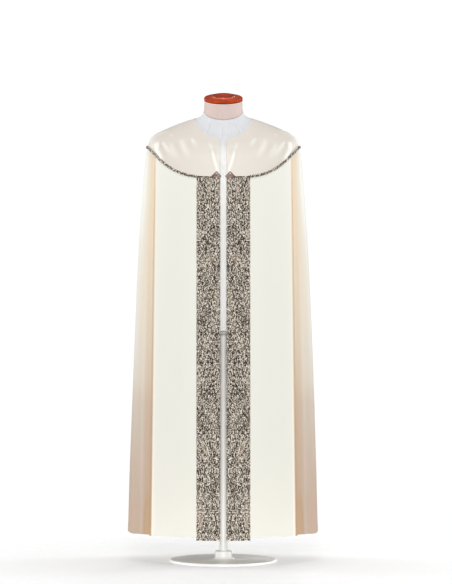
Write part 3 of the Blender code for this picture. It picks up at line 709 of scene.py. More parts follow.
def shadow_line_cord():
    """The flecked cord along a band's top: a real cord, made dark as a painted shadow line under the yoke's
    edge.
    """
    paint = Paint("shadow_line_cord", Roughness=0.62, Sheen_Weight=0.05)
    tone, relief, _ = fleck_pattern(paint, paint.solid_place(), finer=0.55, dimensions="3D")
    return paint.finish(
        Base_Color=fleck_colors(paint, tone * 0.8 - 0.24), Normal=paint.bump(relief, 0.0004, 0.5)
    )


def sewing_thread(name, shades, roughness):
    paint = Paint(name, Sheen_Weight=0.1)
    fine = paint.noise(paint.solid_place(), 2500.0, 1.0)
    return paint.finish(Base_Color=paint.mix(fine, *shades), Roughness=roughness + fine * 0.15)


def rose_bronze():
    """Cast rose bronze: worn bright on the high places, dark in the hollows."""
    paint = Paint("rose_bronze", Metallic=1.0)
    place = paint.solid_place()
    worn = paint.noise(place, 420.0, 3.0, 0.6)
    high = paint.node("NewGeometry", output="Pointiness").smooth(0.48, 0.56)
    return paint.finish(
        Base_Color=paint.mix(high, paint.mix(worn, *DARK_BRONZE), paint.mix(worn, *BRIGHT_BRONZE)),
        Roughness=0.50 - high * 0.14 + worn * 0.08,
        Normal=paint.bump(paint.noise(place, 1800.0), 0.00006, 0.35),
    )


def pearl():
    paint = Paint("pearl", Coat_Weight=0.6, Coat_Roughness=0.08, Specular_IOR_Level=0.6)
    lustre = paint.noise(paint.solid_place(), 260.0)
    return paint.finish(Base_Color=paint.mix(lustre, *PEARL_LUSTRE), Roughness=0.22 + lustre * 0.08)


def form_linen():
    """The form's tight cover: rose linen on the neck, a piped seam, and white cotton below, greyer near the
    neck where light falls fully and whiter lower down in the shaded slit, which is painted light.
    """
    paint = Paint("form_linen", Sheen_Weight=0.08)
    place = paint.cloth_place()
    cloudy = paint.noise(place, 22.0, 3.0)
    slub, cross = (paint.noise(place, way).smooth(0.55, 0.75) for way in ((1500, 90, 1), (90, 1500, 1)))
    threads = slub + cross
    linen = paint.mix(threads * 0.5, paint.mix(cloudy, *ROSE_LINEN), LINEN_THREADS)
    # Painted light: the cotton is whiter low in the shaded slit and greyer where light falls fully
    cotton = paint.mix(paint.attribute("collar"), paint.mix(cloudy, *WHITE_COTTON), DIMMED_WHERE_LIT_WHITE)
    cover = paint.mix(paint.attribute("neck"), cotton, linen)
    color = paint.mix(paint.attribute("piping") * 0.75, cover, PIPING_RED)
    normal = paint.bump(plain_weave(paint, LINEN_PITCH) + threads * 0.5, 0.00016, 0.6)
    return paint.finish(Base_Color=color, Roughness=0.82 + cloudy * 0.08, Normal=normal)


def cap_wood():
    """Red stained wood under a thin lacquer, its grain along the form's width, with painted shade on its
    edges and a painted highlight in the glossy cove.
    """
    paint = Paint("red_stained_wood", Coat_Roughness=0.22, Specular_IOR_Level=0.02)
    place = paint.solid_place()
    grain = paint.noise(place, (26, 190, 190), 4.0, 0.6, 0.4)
    pores = paint.noise(place, (120, 1400, 1400)).smooth(0.60, 0.72)
    stain = paint.mix(pores * 0.5, paint.mix(grain.smooth(0.32, 0.68), *RED_STAIN), OPEN_PORES)
    polish_and_highlight = paint.attribute("polished_cove")
    # A painted highlight in the cove, where the lacquer is also glossier
    worn = paint.mix(polish_and_highlight * 0.30, stain, COVE_HIGHLIGHT)
    # Painted shade on the cap's edges
    return paint.finish(
        Base_Color=paint.mix(paint.attribute("dark_edge"), worn, EDGE_SHADE),
        Roughness=0.38 + grain * 0.10,
        Coat_Weight=0.02 + polish_and_highlight * 0.9,
        Normal=paint.bump(grain, 0.00015, 0.25),
    )


def pale_enamel():
    """Warm white powder coat with its fine pebble."""
    paint = Paint("pale_enamel", Specular_IOR_Level=0.5)
    place = paint.solid_place()
    cloudy = paint.noise(place, 12.0)
    normal = paint.bump(paint.noise(place, 900.0), 0.00010, 0.3)
    return paint.finish(Base_Color=paint.mix(cloudy, *ENAMEL), Roughness=0.34 + cloudy * 0.08, Normal=normal)


def pale_floor():
    """White paper that fades out towards its rim, so that no edge shows."""
    paint = Paint(
        "pale_floor", Roughness=0.7, Base_Color=FLOOR_GREY, Emission_Color=WHITE, Emission_Strength=FLOOR_GLOW
    )
    reach = paint.node("VectorMath", {"operation": "LENGTH"}, {0: paint.solid_place()}, output="Value")
    return paint.finish(Alpha=1 - reach.smooth(FLOOR_FADE, FLOOR_RADIUS))


# ---------------------------------------------------------------- making meshes
WELD = 0.00001
EDGE_ROUND, EDGE_ANGLE = 0.32, math.radians(62)
TURNED_SHARP, CAST_SHARP, FORM_SHARP = math.radians(38), math.radians(42), math.radians(60)


def new_object(name, data, material=None):
    obj = bpy.data.objects.new(name, data)
    if material:
        data.materials.append(material)
    bpy.context.scene.collection.objects.link(obj)
    return obj


@contextmanager
def shaping(mesh):
    """Opens a mesh for work, and writes the work back to it."""
    work = bmesh.new()
    work.from_mesh(mesh)
    yield work
    work.to_mesh(mesh)
    work.free()


def settled(obj):
    """The object with its modifiers applied, shaded smooth."""
    graph = bpy.context.evaluated_depsgraph_get()
    source = obj.evaluated_get(graph)
    mesh = bpy.data.meshes.new_from_object(source, preserve_all_data_layers=True, depsgraph=graph)
    obj.modifiers.clear()
    obj.data = mesh
    mesh.shade_smooth()
    return obj


def set_layers(mesh, layers):
    for name, values in layers.items():
        layer = mesh.attributes.new(name, "FLOAT", "POINT")
        layer.data.foreach_set("value", values.astype(np.float32).ravel())


def grid_mesh(name, grid, places, layers):
    """An open sheet on a grid of points. Places are its coordinates on the flat cloth, in metres."""
    corner = np.arange(grid[..., 0].size).reshape(grid.shape[:2])
    corners = (corner[:-1, :-1], corner[1:, :-1], corner[1:, 1:], corner[:-1, 1:])
    faces = np.stack(corners, axis=-1).reshape(-1, 4)
    mesh = bpy.data.meshes.new(name)
    mesh.from_pydata(grid.reshape(-1, 3).tolist(), [], faces.tolist())
    flat = mesh.uv_layers.new(name="cloth")
    flat.data.foreach_set("uv", places.reshape(-1, 2)[faces.ravel()].astype(np.float32).ravel())
    set_layers(mesh, layers)
    return mesh


def sheet_object(name, grid, places, thickness, material, layers):
    """A wall of cloth that is thickened outwards, with its edges rounded."""
    obj = new_object(name, grid_mesh(name, grid, places, layers), material)
    wall = obj.modifiers.new("wall", "SOLIDIFY")
    wall.thickness = thickness
    wall.offset = 1
    edge = obj.modifiers.new("edge", "BEVEL")
    edge.width = thickness * EDGE_ROUND
    edge.segments = 2
    edge.limit_method = "ANGLE"
    edge.angle_limit = EDGE_ANGLE
    return settled(obj)


def turned(name, profile, segments, material):
    """A solid of revolution about Z from (radius, height) points that run down its outer side."""
    mesh = bpy.data.meshes.new(name)
    points = [(radius, 0, height) for radius, height in profile]
    mesh.from_pydata(points, [(i, i + 1) for i in range(len(points) - 1)], [])
    obj = new_object(name, mesh, material)
    screw = obj.modifiers.new("turn", "SCREW")
    screw.axis = "Z"
    screw.steps = screw.render_steps = segments
    screw.use_merge_vertices = True
    screw.merge_threshold = WELD * 5
    settled(obj)
    obj.data.set_sharp_from_angle(angle=TURNED_SHARP)
    return obj


def arc(centre, radius, start, end, steps):
    """Points on an arc, as (radius, height) pairs; angles in degrees from the outward direction."""
    angles = [math.radians(start + (end - start) * i / steps) for i in range(steps + 1)]
    return [(centre[0] + radius * math.cos(a), centre[1] + radius * math.sin(a)) for a in angles]


def joined(name, objects, material):
    """One object out of several meshes and curves, all with one material."""
    bpy.context.view_layer.update()
    graph = bpy.context.evaluated_depsgraph_get()
    mesh = bpy.data.meshes.new(name)
    with shaping(mesh) as work:
        for obj in objects:
            part = bpy.data.meshes.new_from_object(obj.evaluated_get(graph), depsgraph=graph)
            part.transform(obj.matrix_world)
            work.from_mesh(part)
            bpy.data.objects.remove(obj)
        for face in work.faces:
            face.material_index = 0
            face.smooth = True
        bmesh.ops.remove_doubles(work, verts=work.verts, dist=WELD / 5)
    mesh.set_sharp_from_angle(angle=CAST_SHARP)
    return new_object(name, mesh, material)


def add_path(curve, points, closed):
    """A path of straight stretches, added to a curve."""
    spline = curve.splines.new("POLY")
    spline.points.add(len(points) - 1)
    for point, place in zip(spline.points, points):
        point.co = (*place, 1)
    spline.use_cyclic_u = closed
    return spline


def tube(name, points, radius, material, closed=False):
    """A round wire through points. Radius is one number or one for each point."""
    curve = bpy.data.curves.new(name, "CURVE")
    curve.dimensions = "3D"
    curve.bevel_depth = 1.0
    curve.bevel_resolution = 3
    curve.use_fill_caps = True
    for point, thick in zip(add_path(curve, points, closed).points, np.broadcast_to(radius, len(points))):
        point.radius = thick
    return new_object(name, curve, material)


def ball(name, radius, around, down, material):
    mesh = bpy.data.meshes.new(name)
    with shaping(mesh) as work:
        bmesh.ops.create_uvsphere(work, u_segments=around, v_segments=down, radius=radius)
    mesh.shade_smooth()
    return new_object(name, mesh, material)


def close_tube(mesh):
    """Welds a tube's long seam and caps its ends."""
    with shaping(mesh) as work:
        bmesh.ops.remove_doubles(work, verts=work.verts, dist=WELD)
        bmesh.ops.holes_fill(work, edges=[edge for edge in work.edges if edge.is_boundary], sides=0)
        bmesh.ops.recalc_face_normals(work, faces=work.faces)
    return mesh


# ---------------------------------------------------------------- the garment's panels
YOKE_LEVELS = spread((-1.0, 4), (-0.97, 64), (-0.03, 4), (0.0, 0))
BODY_LEVELS = spread((0.0, 4), (0.006, 10), (0.06, 96), (0.968, 12), (1.0, 0))
FRONT_STATIONS = spread((0.0, 14), (1.0, 18), (1.88, 24), (2.2, 12), (2.44, 14), (2.8, 12), (3.0, 0))
BACK_STATIONS = spread((3.0, 8), (3.05, 60), (3.97, 4), (4.0, 4), (4.03, 60), (4.95, 8), (5.0, 0))
BAND_STATIONS = spread((0.0, 2), (0.03, 18), (0.97, 2), (1.0, 0))

# Tones of the side fold, by station and level: painted shade where the fold turns away, behind its crest, at
# the tuck and near the floor, and painted light on its outer side and along its crest. A pair says where a
# tone is nothing and where it is full.
INSIDE_FOLD, BEFORE_BACK, BELOW_YOKE = (1.978, 1.998), (3.6, 3.1), (-0.01, 0.02)
Patch = namedtuple("Patch", "strength stations levels")
LIGHTER_SIDE = Patch(0.55, (2.62, 2.84), (0.62, 0.42))
# Painted light on the fold's outer side near the yoke
LIT_SIDE = Patch(1.0, (2.5, 2.7), (0.3, 0.1))
SHADE_BEHIND_CREST = Patch(0.40, (2.46, 2.16), (0.1, 0.8))
SHADE_LOW_SIDE = Patch(0.15, (2.5, 2.7), (0.62, 0.87))
# Painted shade low on the front panels near the floor
SHADE_NEAR_FLOOR = Patch(0.095, (1.998, 1.978), (0.4, 1.0))
CREST_LIGHT, CREST_LIGHT_WIDTH = 1.962, 0.016
WARM_START, WARM_END, WARM_WIDENING, WIDENS_OVER = 2.22, 2.68, 0.28, (0.1, 0.45)
# From the yoke to the hem: stops of a level and a strength, or of a level and the tuck's station
FOLD_WARM_SHADE = ((0.15, 0.90), (0.3, 0.74), (0.5, 0.55), (0.8, 0.40))
FOLD_SHADE = (
    (0.03, 0.05), (0.1, 0.07), (0.2, 0.10), (0.4, 0.19), (0.5, 0.28),
    (0.6, 0.43), (0.66, 0.65), (0.8, 0.80), (0.92, 0.94), (1.0, 1.0),
)
CREST_SHADOW_LINE, SHADOW_LINE_STATIONS = ((0.04, 0.10), (0.12, 0.32), (1.0, 0.76)), (2.12, 2.03)
TUCK_EDGE, TUCK_FADE, TUCK_SHADE, TUCK_LEVELS = ((0.84, 2.27), (0.96, 2.375)), 0.015, 0.48, (0.82, 0.92)


def flat_places(grid, stations):
    """Coordinates on the flat cloth: across from the front edge or the centre back, and down."""
    across, down = lengths_along(grid, 1), lengths_along(grid, 0)
    if stations[-1] == LAST_STATION:
        across = across[:, -1:] - across
    elif stations[0] == SIDE_SEAM_LEFT:
        across = across - across[:, int(np.argmin(np.abs(stations - CENTRE_BACK)))][:, None]
    return np.stack((across, -down), axis=-1)


def fold_tones(stations, levels):
    """Where the side fold gets painted shade (warm, dusky and deep) and painted light (on its outer side and
    along its crest). Each is a grid from 0 to 1.
    """
    near, level = np.meshgrid(np.minimum(stations, LAST_STATION - stations), levels)

    def over(patch):
        return patch.strength * climb(near, *patch.stations) * climb(level, *patch.levels)

    inside, before_back = climb(near, *INSIDE_FOLD), climb(near, *BEFORE_BACK)
    below_yoke = climb(level, *BELOW_YOKE)
    warm_end = WARM_END + WARM_WIDENING * climb(level, *WIDENS_OVER)
    # Painted shade: the fold's shade, its shadow line by the crest, the tuck's shadow and the low side's
    # shade
    dusk = inside * before_back * read_off(FOLD_SHADE, level) * (1 - over(LIGHTER_SIDE))
    line = climb(near, *SHADOW_LINE_STATIONS) * read_off(CREST_SHADOW_LINE, level)
    tuck_edge = read_off(TUCK_EDGE, level)
    tuck = TUCK_SHADE * climb(near, tuck_edge + TUCK_FADE, tuck_edge) * climb(level, *TUCK_LEVELS)
    low_side = over(SHADE_LOW_SIDE) * before_back
    # The keys hold painted shade (warm, dusky, deep) and painted light (the lit outer side, a highlight along
    # the crest)
    return {
        "warmth": inside * below_yoke * climb(near, warm_end, WARM_START) * read_off(FOLD_WARM_SHADE, level),
        "dusk": dusk + over(SHADE_NEAR_FLOOR),
        "pale": over(LIT_SIDE) * before_back,
        "crest": bell(near - CREST_LIGHT, CREST_LIGHT_WIDTH) * below_yoke,
        "depth": inside * np.maximum.reduce((over(SHADE_BEHIND_CREST), tuck, line, low_side)),
    }


def hem_rise(grid):
    """The turned-up hem's second thickness, as a low step above the edge."""
    down = lengths_along(grid, 0)
    return HEM_RISE * climb(down[-1] - down, HEM_ALLOWANCE, HEM_ALLOWANCE - HEM_STEP)


def edge_valleys(grid, stations):
    """Valleys along the sewn seams, which are the panel's ends there."""
    across = lengths_along(grid, 1)
    valley = np.zeros(grid.shape[:2])
    for station, distance in ((stations[0], across), (stations[-1], across[:, -1:] - across)):
        if station in SEAM_STATIONS:
            valley -= SEAM_DIP * bell(distance, SEAM_DIP_WIDTH)
    return valley


def body_panel(name, stations, creases, material):
    """A panel of the cape below the yoke."""
    grid = cloth_grid(stations, BODY_LEVELS)
    places = flat_places(grid, stations)
    relief = crease_heights(creases, stations, BODY_LEVELS, grid) + hem_rise(grid)
    grid = lifted(grid, relief + edge_valleys(grid, stations))
    return sheet_object(name, grid, places, CLOTH, material, fold_tones(stations, BODY_LEVELS)), grid


def yoke_panel(name, stations, creases, material):
    grid = cloth_grid(stations, YOKE_LEVELS)
    places = flat_places(grid, stations)
    heights = crease_heights(creases, stations, YOKE_LEVELS, grid)
    grid = lifted(grid, heights + np.maximum(edge_valleys(grid, stations), -YOKE_SEAM_DIP))
    # Painted highlight on crease ridges and painted shade in the troughs, from the creases' heights
    shine = np.clip(heights / BRIGHTEST_CREASE, -1, 1)
    tones = {"glow": np.maximum(shine, 0), "hollow": np.maximum(-shine, 0)}
    return sheet_object(name, grid, places, CLOTH, material, tones), grid


def band(name, mirror, material):
    """A flat band down a front edge, from the yoke to just past the hem."""
    stations = LAST_STATION - BAND_STATIONS[::-1] if mirror else BAND_STATIONS
    creases = mirrored_creases(FRONT_CREASES) if mirror else FRONT_CREASES
    length = YOKE_RINGS[-1].z_front - HEM_HEIGHT
    levels = spread((SEAM / length, 240), (1 + BAND_OVERHANG / length, 0))
    grid = cloth_grid(stations, levels)
    grid = lifted(grid, CLOTH + SEAM + crease_heights(creases, stations, levels, grid))
    return sheet_object(name, grid, flat_places(grid, stations), BAND_CLOTH, material, {}), grid


# ---------------------------------------------------------------- sewing
def row_inside_edge(grid, out, inset, edge):
    """A path at an inset from a panel's start, end or top edge, and the outward directions along it."""
    surface, normals = lifted(grid, out), normals_of(grid)
    if edge == "top":
        surface, normals = surface.swapaxes(0, 1), normals.swapaxes(0, 1)
    elif edge == "end":
        surface, normals = surface[:, ::-1], normals[:, ::-1]
    reach = lengths_along(surface, 1)
    return [
        np.stack([at_distances(values[row], reach[row], inset) for row in range(0, len(surface), 2)])
        for values in (surface, normals)
    ]


def stitches_inside(name, grid, out, inset, edges, material):
    """Rows of short stitches at an inset from a panel's edges, on its outer face."""
    shares, turns = np.array(STITCH_RINGS), math.tau * np.arange(STITCH_SIDES) / STITCH_SIDES
    girths = STITCH_RADIUS * np.sqrt(np.maximum(STITCH_END, np.sin(math.pi * shares)))
    pitch = STITCH_LENGTH + STITCH_GAP
    stitches = []
    for edge in edges:
        points, normals = row_inside_edge(grid, out, inset, edge)
        reach = lengths_along(points, 0)
        starts = STITCH_GAP / 2 + pitch * np.arange(int(reach[-1] / pitch))
        a, b = (at_distances(points, reach, at) for at in (starts, starts + STITCH_LENGTH))
        up = unit(at_distances(normals, reach, starts + STITCH_LENGTH / 2))
        side = np.cross(up, unit(b - a))
        sunk = (girths - STITCH_RADIUS)[:, None] / 2
        middles = a[:, None] + (b - a)[:, None] * shares[:, None] + up[:, None] * sunk
        spokes = np.cos(turns)[:, None] * side[:, None] + np.sin(turns)[:, None] * up[:, None]
        stitches.append(middles[:, :, None] + girths[:, None, None] * spokes[:, None])
    points = np.concatenate(stitches)
    corner = np.arange(points[..., 0].size).reshape(points.shape[:3])
    ahead = np.roll(corner, -1, axis=2)
    sides = np.stack((corner[:, :-1], ahead[:, :-1], ahead[:, 1:], corner[:, 1:]), axis=-1).reshape(-1, 4)
    caps = np.concatenate((corner[:, 0, ::-1], corner[:, -1]))
    mesh = bpy.data.meshes.new(name)
    mesh.from_pydata(points.reshape(-1, 3).tolist(), [], sides.tolist() + caps.tolist())
    mesh.shade_smooth()
    return new_object(name, mesh, material)


def band_top_cord(name, mirror, material):
    """The corded edge that covers the seam between the yoke and a band's top, with its small swells. Its dark
    yarn stands in for the shadow under the yoke's edge.
    """
    stations = np.linspace(*CORD_STATIONS)
    route = []
    for station in LAST_STATION - stations if mirror else stations:
        place, normal = surface_at(station, 0.0)
        route.append(place + normal * (CLOTH + SEAM + CORD_OUT) + Vector((0, 0, CORD_RAISED)))
    swell = 1 + CORD_SWELL * np.sin(CORD_WAVE * np.arange(len(route)))
    return tube(name, route, CORD_RADIUS * swell, material)


def twisted_braid(name, first, last, material):
    """Two plump yarns twisted round each other, flattened a little, along the yoke's lower edge."""
    stations = np.linspace(first, last, int((last - first) * SAMPLES_PER_STATION))
    grid = cloth_grid(stations, BRAID_LEVELS)
    normals = normals_of(grid)[1]
    middle = grid[1] + normals * (CLOTH + SEAM)
    reach = lengths_along(middle, 0)
    steps = int(reach[-1] / YARN_STEP)
    at = reach[-1] * np.arange(steps + 1) / steps
    centre, ahead, behind = (at_distances(middle, reach, at + off) for off in (0, LOOK_AHEAD, -LOOK_AHEAD))
    along, up = unit(ahead - behind), at_distances(normals, reach, at)
    up = unit(up - along * np.sum(along * up, axis=1, keepdims=True))
    side = np.cross(along, up)
    shares = np.arange(YARN_SIDES + 1) / YARN_SIDES
    places = np.stack(np.broadcast_arrays(at[:, None], shares), axis=-1)
    wind, rim = BRAID_WIDTH / 2 - YARN_RADIUS, YARN_RADIUS * np.exp(1j * math.tau * shares)
    braid = bpy.data.meshes.new(name)
    with shaping(braid) as work:
        for strand in range(2):
            # In a yarn's section, real numbers run across the braid and imaginary ones away from the cloth.
            section = wind * np.exp(1j * math.tau * (at / BRAID_TWIST + strand / 2))[:, None] + rim
            height = section.imag * (BRAID_DEPTH / BRAID_WIDTH) + BRAID_DEPTH / 2
            grid = centre[:, None] + side[:, None] * section.real[..., None] + up[:, None] * height[..., None]
            layers = {"dark_strand": np.full(grid.shape[:2], float(strand))}
            work.from_mesh(close_tube(grid_mesh(f"{name}_{strand}", grid, places, layers)))
    braid.shade_smooth()
    return new_object(name, braid, material)


# ---------------------------------------------------------------- the clasp
def clasp_outline(inset=0.0):
    """A plate with a straight-sided point, two wings and a rounded foot, seen from the front."""
    right, foot = list(CLASP_WINGS), CLASP_FOOT - WAIST_HEIGHT
    for turn in np.linspace(0, math.pi / 2, 11)[:-1]:
        right.append((CLASP_WAIST * math.cos(turn), WAIST_HEIGHT + foot * math.sin(turn)))
    outline = [(0, CLASP_PEAK), *right, (0, CLASP_FOOT), *((-x, y) for x, y in reversed(right))]
    scale = 1 - inset / CLASP_HALF_WIDTH
    return [(x * scale, INSET_MIDDLE + (y - INSET_MIDDLE) * scale) for x, y in outline]


def clasp_window(scale=1.0, drop=0.0):
    """The window under the plate's point: three corners, scaled about the middle of the sill."""
    corners = ((0, WINDOW_PEAK), (-WINDOW_HALF_WIDTH, WINDOW_SILL), (WINDOW_HALF_WIDTH, WINDOW_SILL))
    return [(x * scale, WINDOW_SILL + (y - WINDOW_SILL) * scale - drop) for x, y in corners]


def clasp_frame(side):
    """Where a clasp's plate lies: a matrix that takes across, up and out from the plate's middle."""
    station = (CLASP_MIDDLE - FRONT_GAP) / (BAND_EDGE - FRONT_GAP)
    band_top = YOKE_RINGS[-1].z_front
    level = (band_top - CLASP_HEIGHT - CLASP_FOOT) / (band_top - HEM_HEIGHT)
    place, normal = surface_at(station if side > 0 else LAST_STATION - station, level)
    normal.z = 0
    normal.normalize()
    place = place + normal * (CLOTH + SEAM + BAND_CLOTH + SEAM)
    turn = normal.to_track_quat("Z", "Y").to_matrix().to_4x4()
    return Matrix.Translation((place.x, place.y, CLASP_HEIGHT)) @ turn


def plate_blank(name, outlines, material):
    """The flat plate, with rounded edges and a hole for each outline inside the first."""
    curve = bpy.data.curves.new(name, "CURVE")
    curve.dimensions = "2D"
    curve.fill_mode = "BOTH"
    curve.extrude = CLASP_PLATE / 2 - CLASP_BEVEL
    curve.bevel_depth = CLASP_BEVEL
    curve.bevel_resolution = 2
    curve.offset = -CLASP_BEVEL
    for outline in outlines:
        add_path(curve, [(x, y, 0) for x, y in outline], closed=True)
    obj = new_object(name, curve, material)
    obj.location.z = CLASP_PLATE / 2
    return obj


def scroll_path(scroll, hand):
    """A spiral that winds in, as points in the plate's plane, mirrored where the hand is -1."""
    parts = np.linspace(0, 1, SCROLL_STEPS)
    radii = scroll.start + (scroll.end - scroll.start) * parts ** SCROLL_EASE
    angles = math.radians(scroll.angle) + math.tau * scroll.turns * parts
    across, up = scroll.across + radii * np.cos(angles), scroll.up + radii * np.sin(angles)
    return np.stack((hand * across, up), axis=-1)


def along_outline(outline, spacing):
    """Evenly spaced places along a closed outline."""
    points = np.array([*outline, outline[0]])
    reach = lengths_along(points, 0)
    count = int(reach[-1] / spacing)
    return at_distances(points, reach, reach[-1] * np.arange(count) / count)


def clasp_half(name, side, material):
    """A cast plate with a corded rim, a milled edge, two scrolls, a palmette and a cup for the pearl."""
    parts = [plate_blank(f"{name}_blank", (clasp_outline(), clasp_window()), material)]

    def wire(path, height, radius, closed=False):
        points = [(x, y, CLASP_PLATE + height) for x, y in path]
        parts.append(tube(f"{name}_wire", points, radius, material, closed))

    def bead(place, height, radius):
        parts.append(ball(f"{name}_bead", radius, *BEAD_SIDES, material))
        parts[-1].location = (*place, CLASP_PLATE + height)

    wire(clasp_outline(RIM_INSET), RIM_RISE, CLASP_WIRE, closed=True)
    window_rim = clasp_window(WINDOW_RIM_SCALE, WINDOW_RIM_DROP)
    wire(window_rim, WINDOW_RIM_RISE, WINDOW_WIRE, closed=True)
    for place in along_outline(clasp_outline(MILLING_INSET), MILLING_PITCH):
        bead(place, 0, MILLING_BEAD)
    for hand in (-1, 1):
        for scroll in SCROLLS:
            path = scroll_path(scroll, hand)
            taper = 1 - SCROLL_TAPER * np.arange(SCROLL_STEPS) / SCROLL_STEPS
            wire(path, scroll.thick / 2, scroll.thick * taper)
            bead(path[-1], EYE_RISE, scroll.thick * EYE_SIZE)
        bead((hand * (CLASP_HALF_WIDTH - WING_BEAD_INSET), -WING_BEAD_DROP), 0, WING_BEAD)
    swell = np.sin(math.pi * np.linspace(*PETAL_ARC, PETAL_STEPS))
    out = np.linspace(0, PETAL_LENGTH, PETAL_STEPS)
    for lean in np.radians(PETAL_LEANS):
        petal = np.stack((math.sin(lean) * out, math.cos(lean) * out - PETAL_DROP), axis=-1)
        wire(petal, PETAL_RISE, CLASP_WIRE * (PETAL_THIN + PETAL_SWELL * swell))
    cup, turns = PEARL_RADIUS + CLASP_WIRE, np.linspace(0, math.tau, 28)[:-1]
    around_pearl = np.stack((cup * np.cos(turns), cup * np.sin(turns) - PEARL_DROP), axis=-1)
    wire(around_pearl, CUP_RISE, CLASP_WIRE, closed=True)
    obj = joined(name, parts, material)
    obj.data.transform(clasp_frame(side))
    return obj


def clasp_pearl(name, side, material):
    obj = ball(name, PEARL_RADIUS, *PEARL_SIDES, material)
    obj.data.transform(clasp_frame(side) @ Matrix.Translation((0, -PEARL_DROP, PEARL_OUT)))
    return obj


# ---------------------------------------------------------------- the dress form
def degrees_off(bearing, seam):
    return (bearing - seam + 180) % 360 - 180


def form_bearings():
    """Bearings round the form, closer beside each of its seams."""
    wanted = {round(bearing, 3) for bearing in np.arange(0, 360, FORM_STEP)}
    for seam in FORM_SEAM_BEARINGS:
        wanted = {bearing for bearing in wanted if abs(degrees_off(bearing, seam)) > CLEAR_OF_SEAM}
        wanted |= {round((seam + off) % 360, 3) for off in BESIDE_UPRIGHT_SEAM}
    return np.radians(sorted(wanted))


def under_yoke(level, bearings):
    """The form's surface under the yoke. It carries the shoulder and draws away at the chest."""
    step = 0.01

    def points_at(place, off=0.0):
        return ring_points(eased(YOKE_RINGS, min(max(place, -1), 0)), bearings + off)[0]

    around = points_at(level, step) - points_at(level, -step)
    down = points_at(level + step) - points_at(level - step)
    gap = SHOULDER_GAP + CHEST_GAP * np.cos(bearings) ** 2
    return points_at(level) - unit(np.cross(down, around)) * gap[:, None]


def smoothed_rows(rows, between):
    """Catmull-Rom curves down through rows of points, with more rows between them."""
    rows = [rows[0], *rows, rows[-1]]
    smooth = []
    for before, a, b, after in zip(rows, rows[1:], rows[2:], rows[3:]):
        square, cubic = 2 * before - 5 * a + 4 * b - after, 3 * a - before - 3 * b + after
        for i in range(between):
            t = i / between
            smooth.append(0.5 * (2 * a + (b - before) * t + square * t ** 2 + cubic * t ** 3))
    return np.stack([*smooth, rows[-2]])


def rows_at(grid, places):
    """Rows of a grid at places that may lie between its own rows."""
    low = np.minimum(places.astype(int), len(grid) - 2)
    part = (places - low)[:, None, None]
    return grid[low] * (1 - part) + grid[low + 1] * part


def wrapped(grid):
    """A grid with its first column again after its last."""
    return np.concatenate((grid, grid[:, :1]), axis=1)


def form_torso(material):
    """The covered body and neck of the form, with the cover's seams as shallow grooves."""
    bearings = form_bearings()
    rows = [ring_points(ring, bearings)[0] for ring in NECK_RINGS]
    rows += [under_yoke(level, bearings) for level in SHOULDER_LEVELS]
    rows += [ring_points(ring, bearings)[0] for ring in BODY_RINGS]
    grid = smoothed_rows(rows, ROWS_BETWEEN)
    neck_seam = NECK_SEAM_RING * ROWS_BETWEEN
    row_places = np.array(sorted({*range(len(grid)), *(neck_seam + off for off in BESIDE_NECK_SEAM)}))
    grid = wrapped(rows_at(grid, row_places))
    down = lengths_along(grid, 0)
    places = np.stack((lengths_along(grid, 1), -down), axis=-1)
    below_seam = down - down[row_places == neck_seam]
    upright = sum(
        bell(np.radians(degrees_off(np.degrees(bearings), seam)) * FORM_MEAN_RADIUS, FORM_SEAM_WIDTH)
        for seam in FORM_SEAM_BEARINGS
    )
    groove = np.maximum(wrapped(upright[None]) * (below_seam > 0), bell(below_seam, FORM_SEAM_WIDTH))
    grid = wrapped(lifted(grid, -FORM_SEAM_DEPTH * groove)[:, :-1])
    layers = {
        "neck": climb(below_seam, NECK_EDGE, -NECK_EDGE),
        # Where the cotton is greyer because light falls fully there: painted light
        "collar": climb(grid[..., 2], DIMMING_FOOT - DIMMING_FADE, DIMMING_FOOT),
        "piping": bell(below_seam, NECK_PIPING),
    }
    mesh = close_tube(grid_mesh("dress_form", grid, places, layers))
    mesh.shade_smooth()
    mesh.set_sharp_from_angle(angle=FORM_SHARP)
    return new_object("dress_form", mesh, material)


def neck_cap(material):
    """A turned wooden cap with a raised, dished crown, tipped forward as the neck is cut."""
    lip = CROWN_RADIUS - CROWN_ROUND
    profile = [(lip * out, CROWN_TOP - CROWN_DISH * (1 - up)) for out, up in CROWN_HOLLOW]
    profile += [(lip - CROWN_RIM, CROWN_TOP - CROWN_RIM_DROP)]
    profile += arc((lip - CROWN_RIM, CROWN_TOP - CROWN_CURL), CROWN_CURL, 84, 10, 6)
    profile += arc((CROWN_RADIUS - CROWN_RIM + CAP_COVE, CAP_THICK + CAP_COVE), CAP_COVE, 180, 262, 8)
    profile += arc((CAP_RADIUS - CAP_ROUND, CAP_THICK - CAP_ROUND), CAP_ROUND, 86, -60, 14)
    profile += [(CAP_UNDERSIDE, 0), (0, 0)]
    cap = turned("neck_cap", profile, 128, material)
    across, along, height = np.array([vertex.co for vertex in cap.data.vertices]).T
    radius = np.hypot(across, along)
    # Painted shade at the foot of the rim and round the crown's rim; in the cove a painted highlight and a
    # glossier lacquer
    foot = FOOT_SHADE * climb(height, *DARK_FOOT)
    crown = CROWN_SHADE * climb(height, *DARK_CROWN) * (radius > lip * CROWN_SHADE_FROM)
    cove = bell(radius - COVE_MIDDLE, COVE_WIDTH) * (height < CAP_THICK + CAP_COVE)
    set_layers(cap.data, {"dark_edge": np.maximum(foot, crown), "polished_cove": cove})
    axis = Vector((0, -math.sin(NECK_TILT), math.cos(NECK_TILT)))
    cap.data.transform(Matrix.Translation(NECK_TOP + axis * SEAM) @ Matrix.Rotation(NECK_TILT, 4, "X"))
    return cap


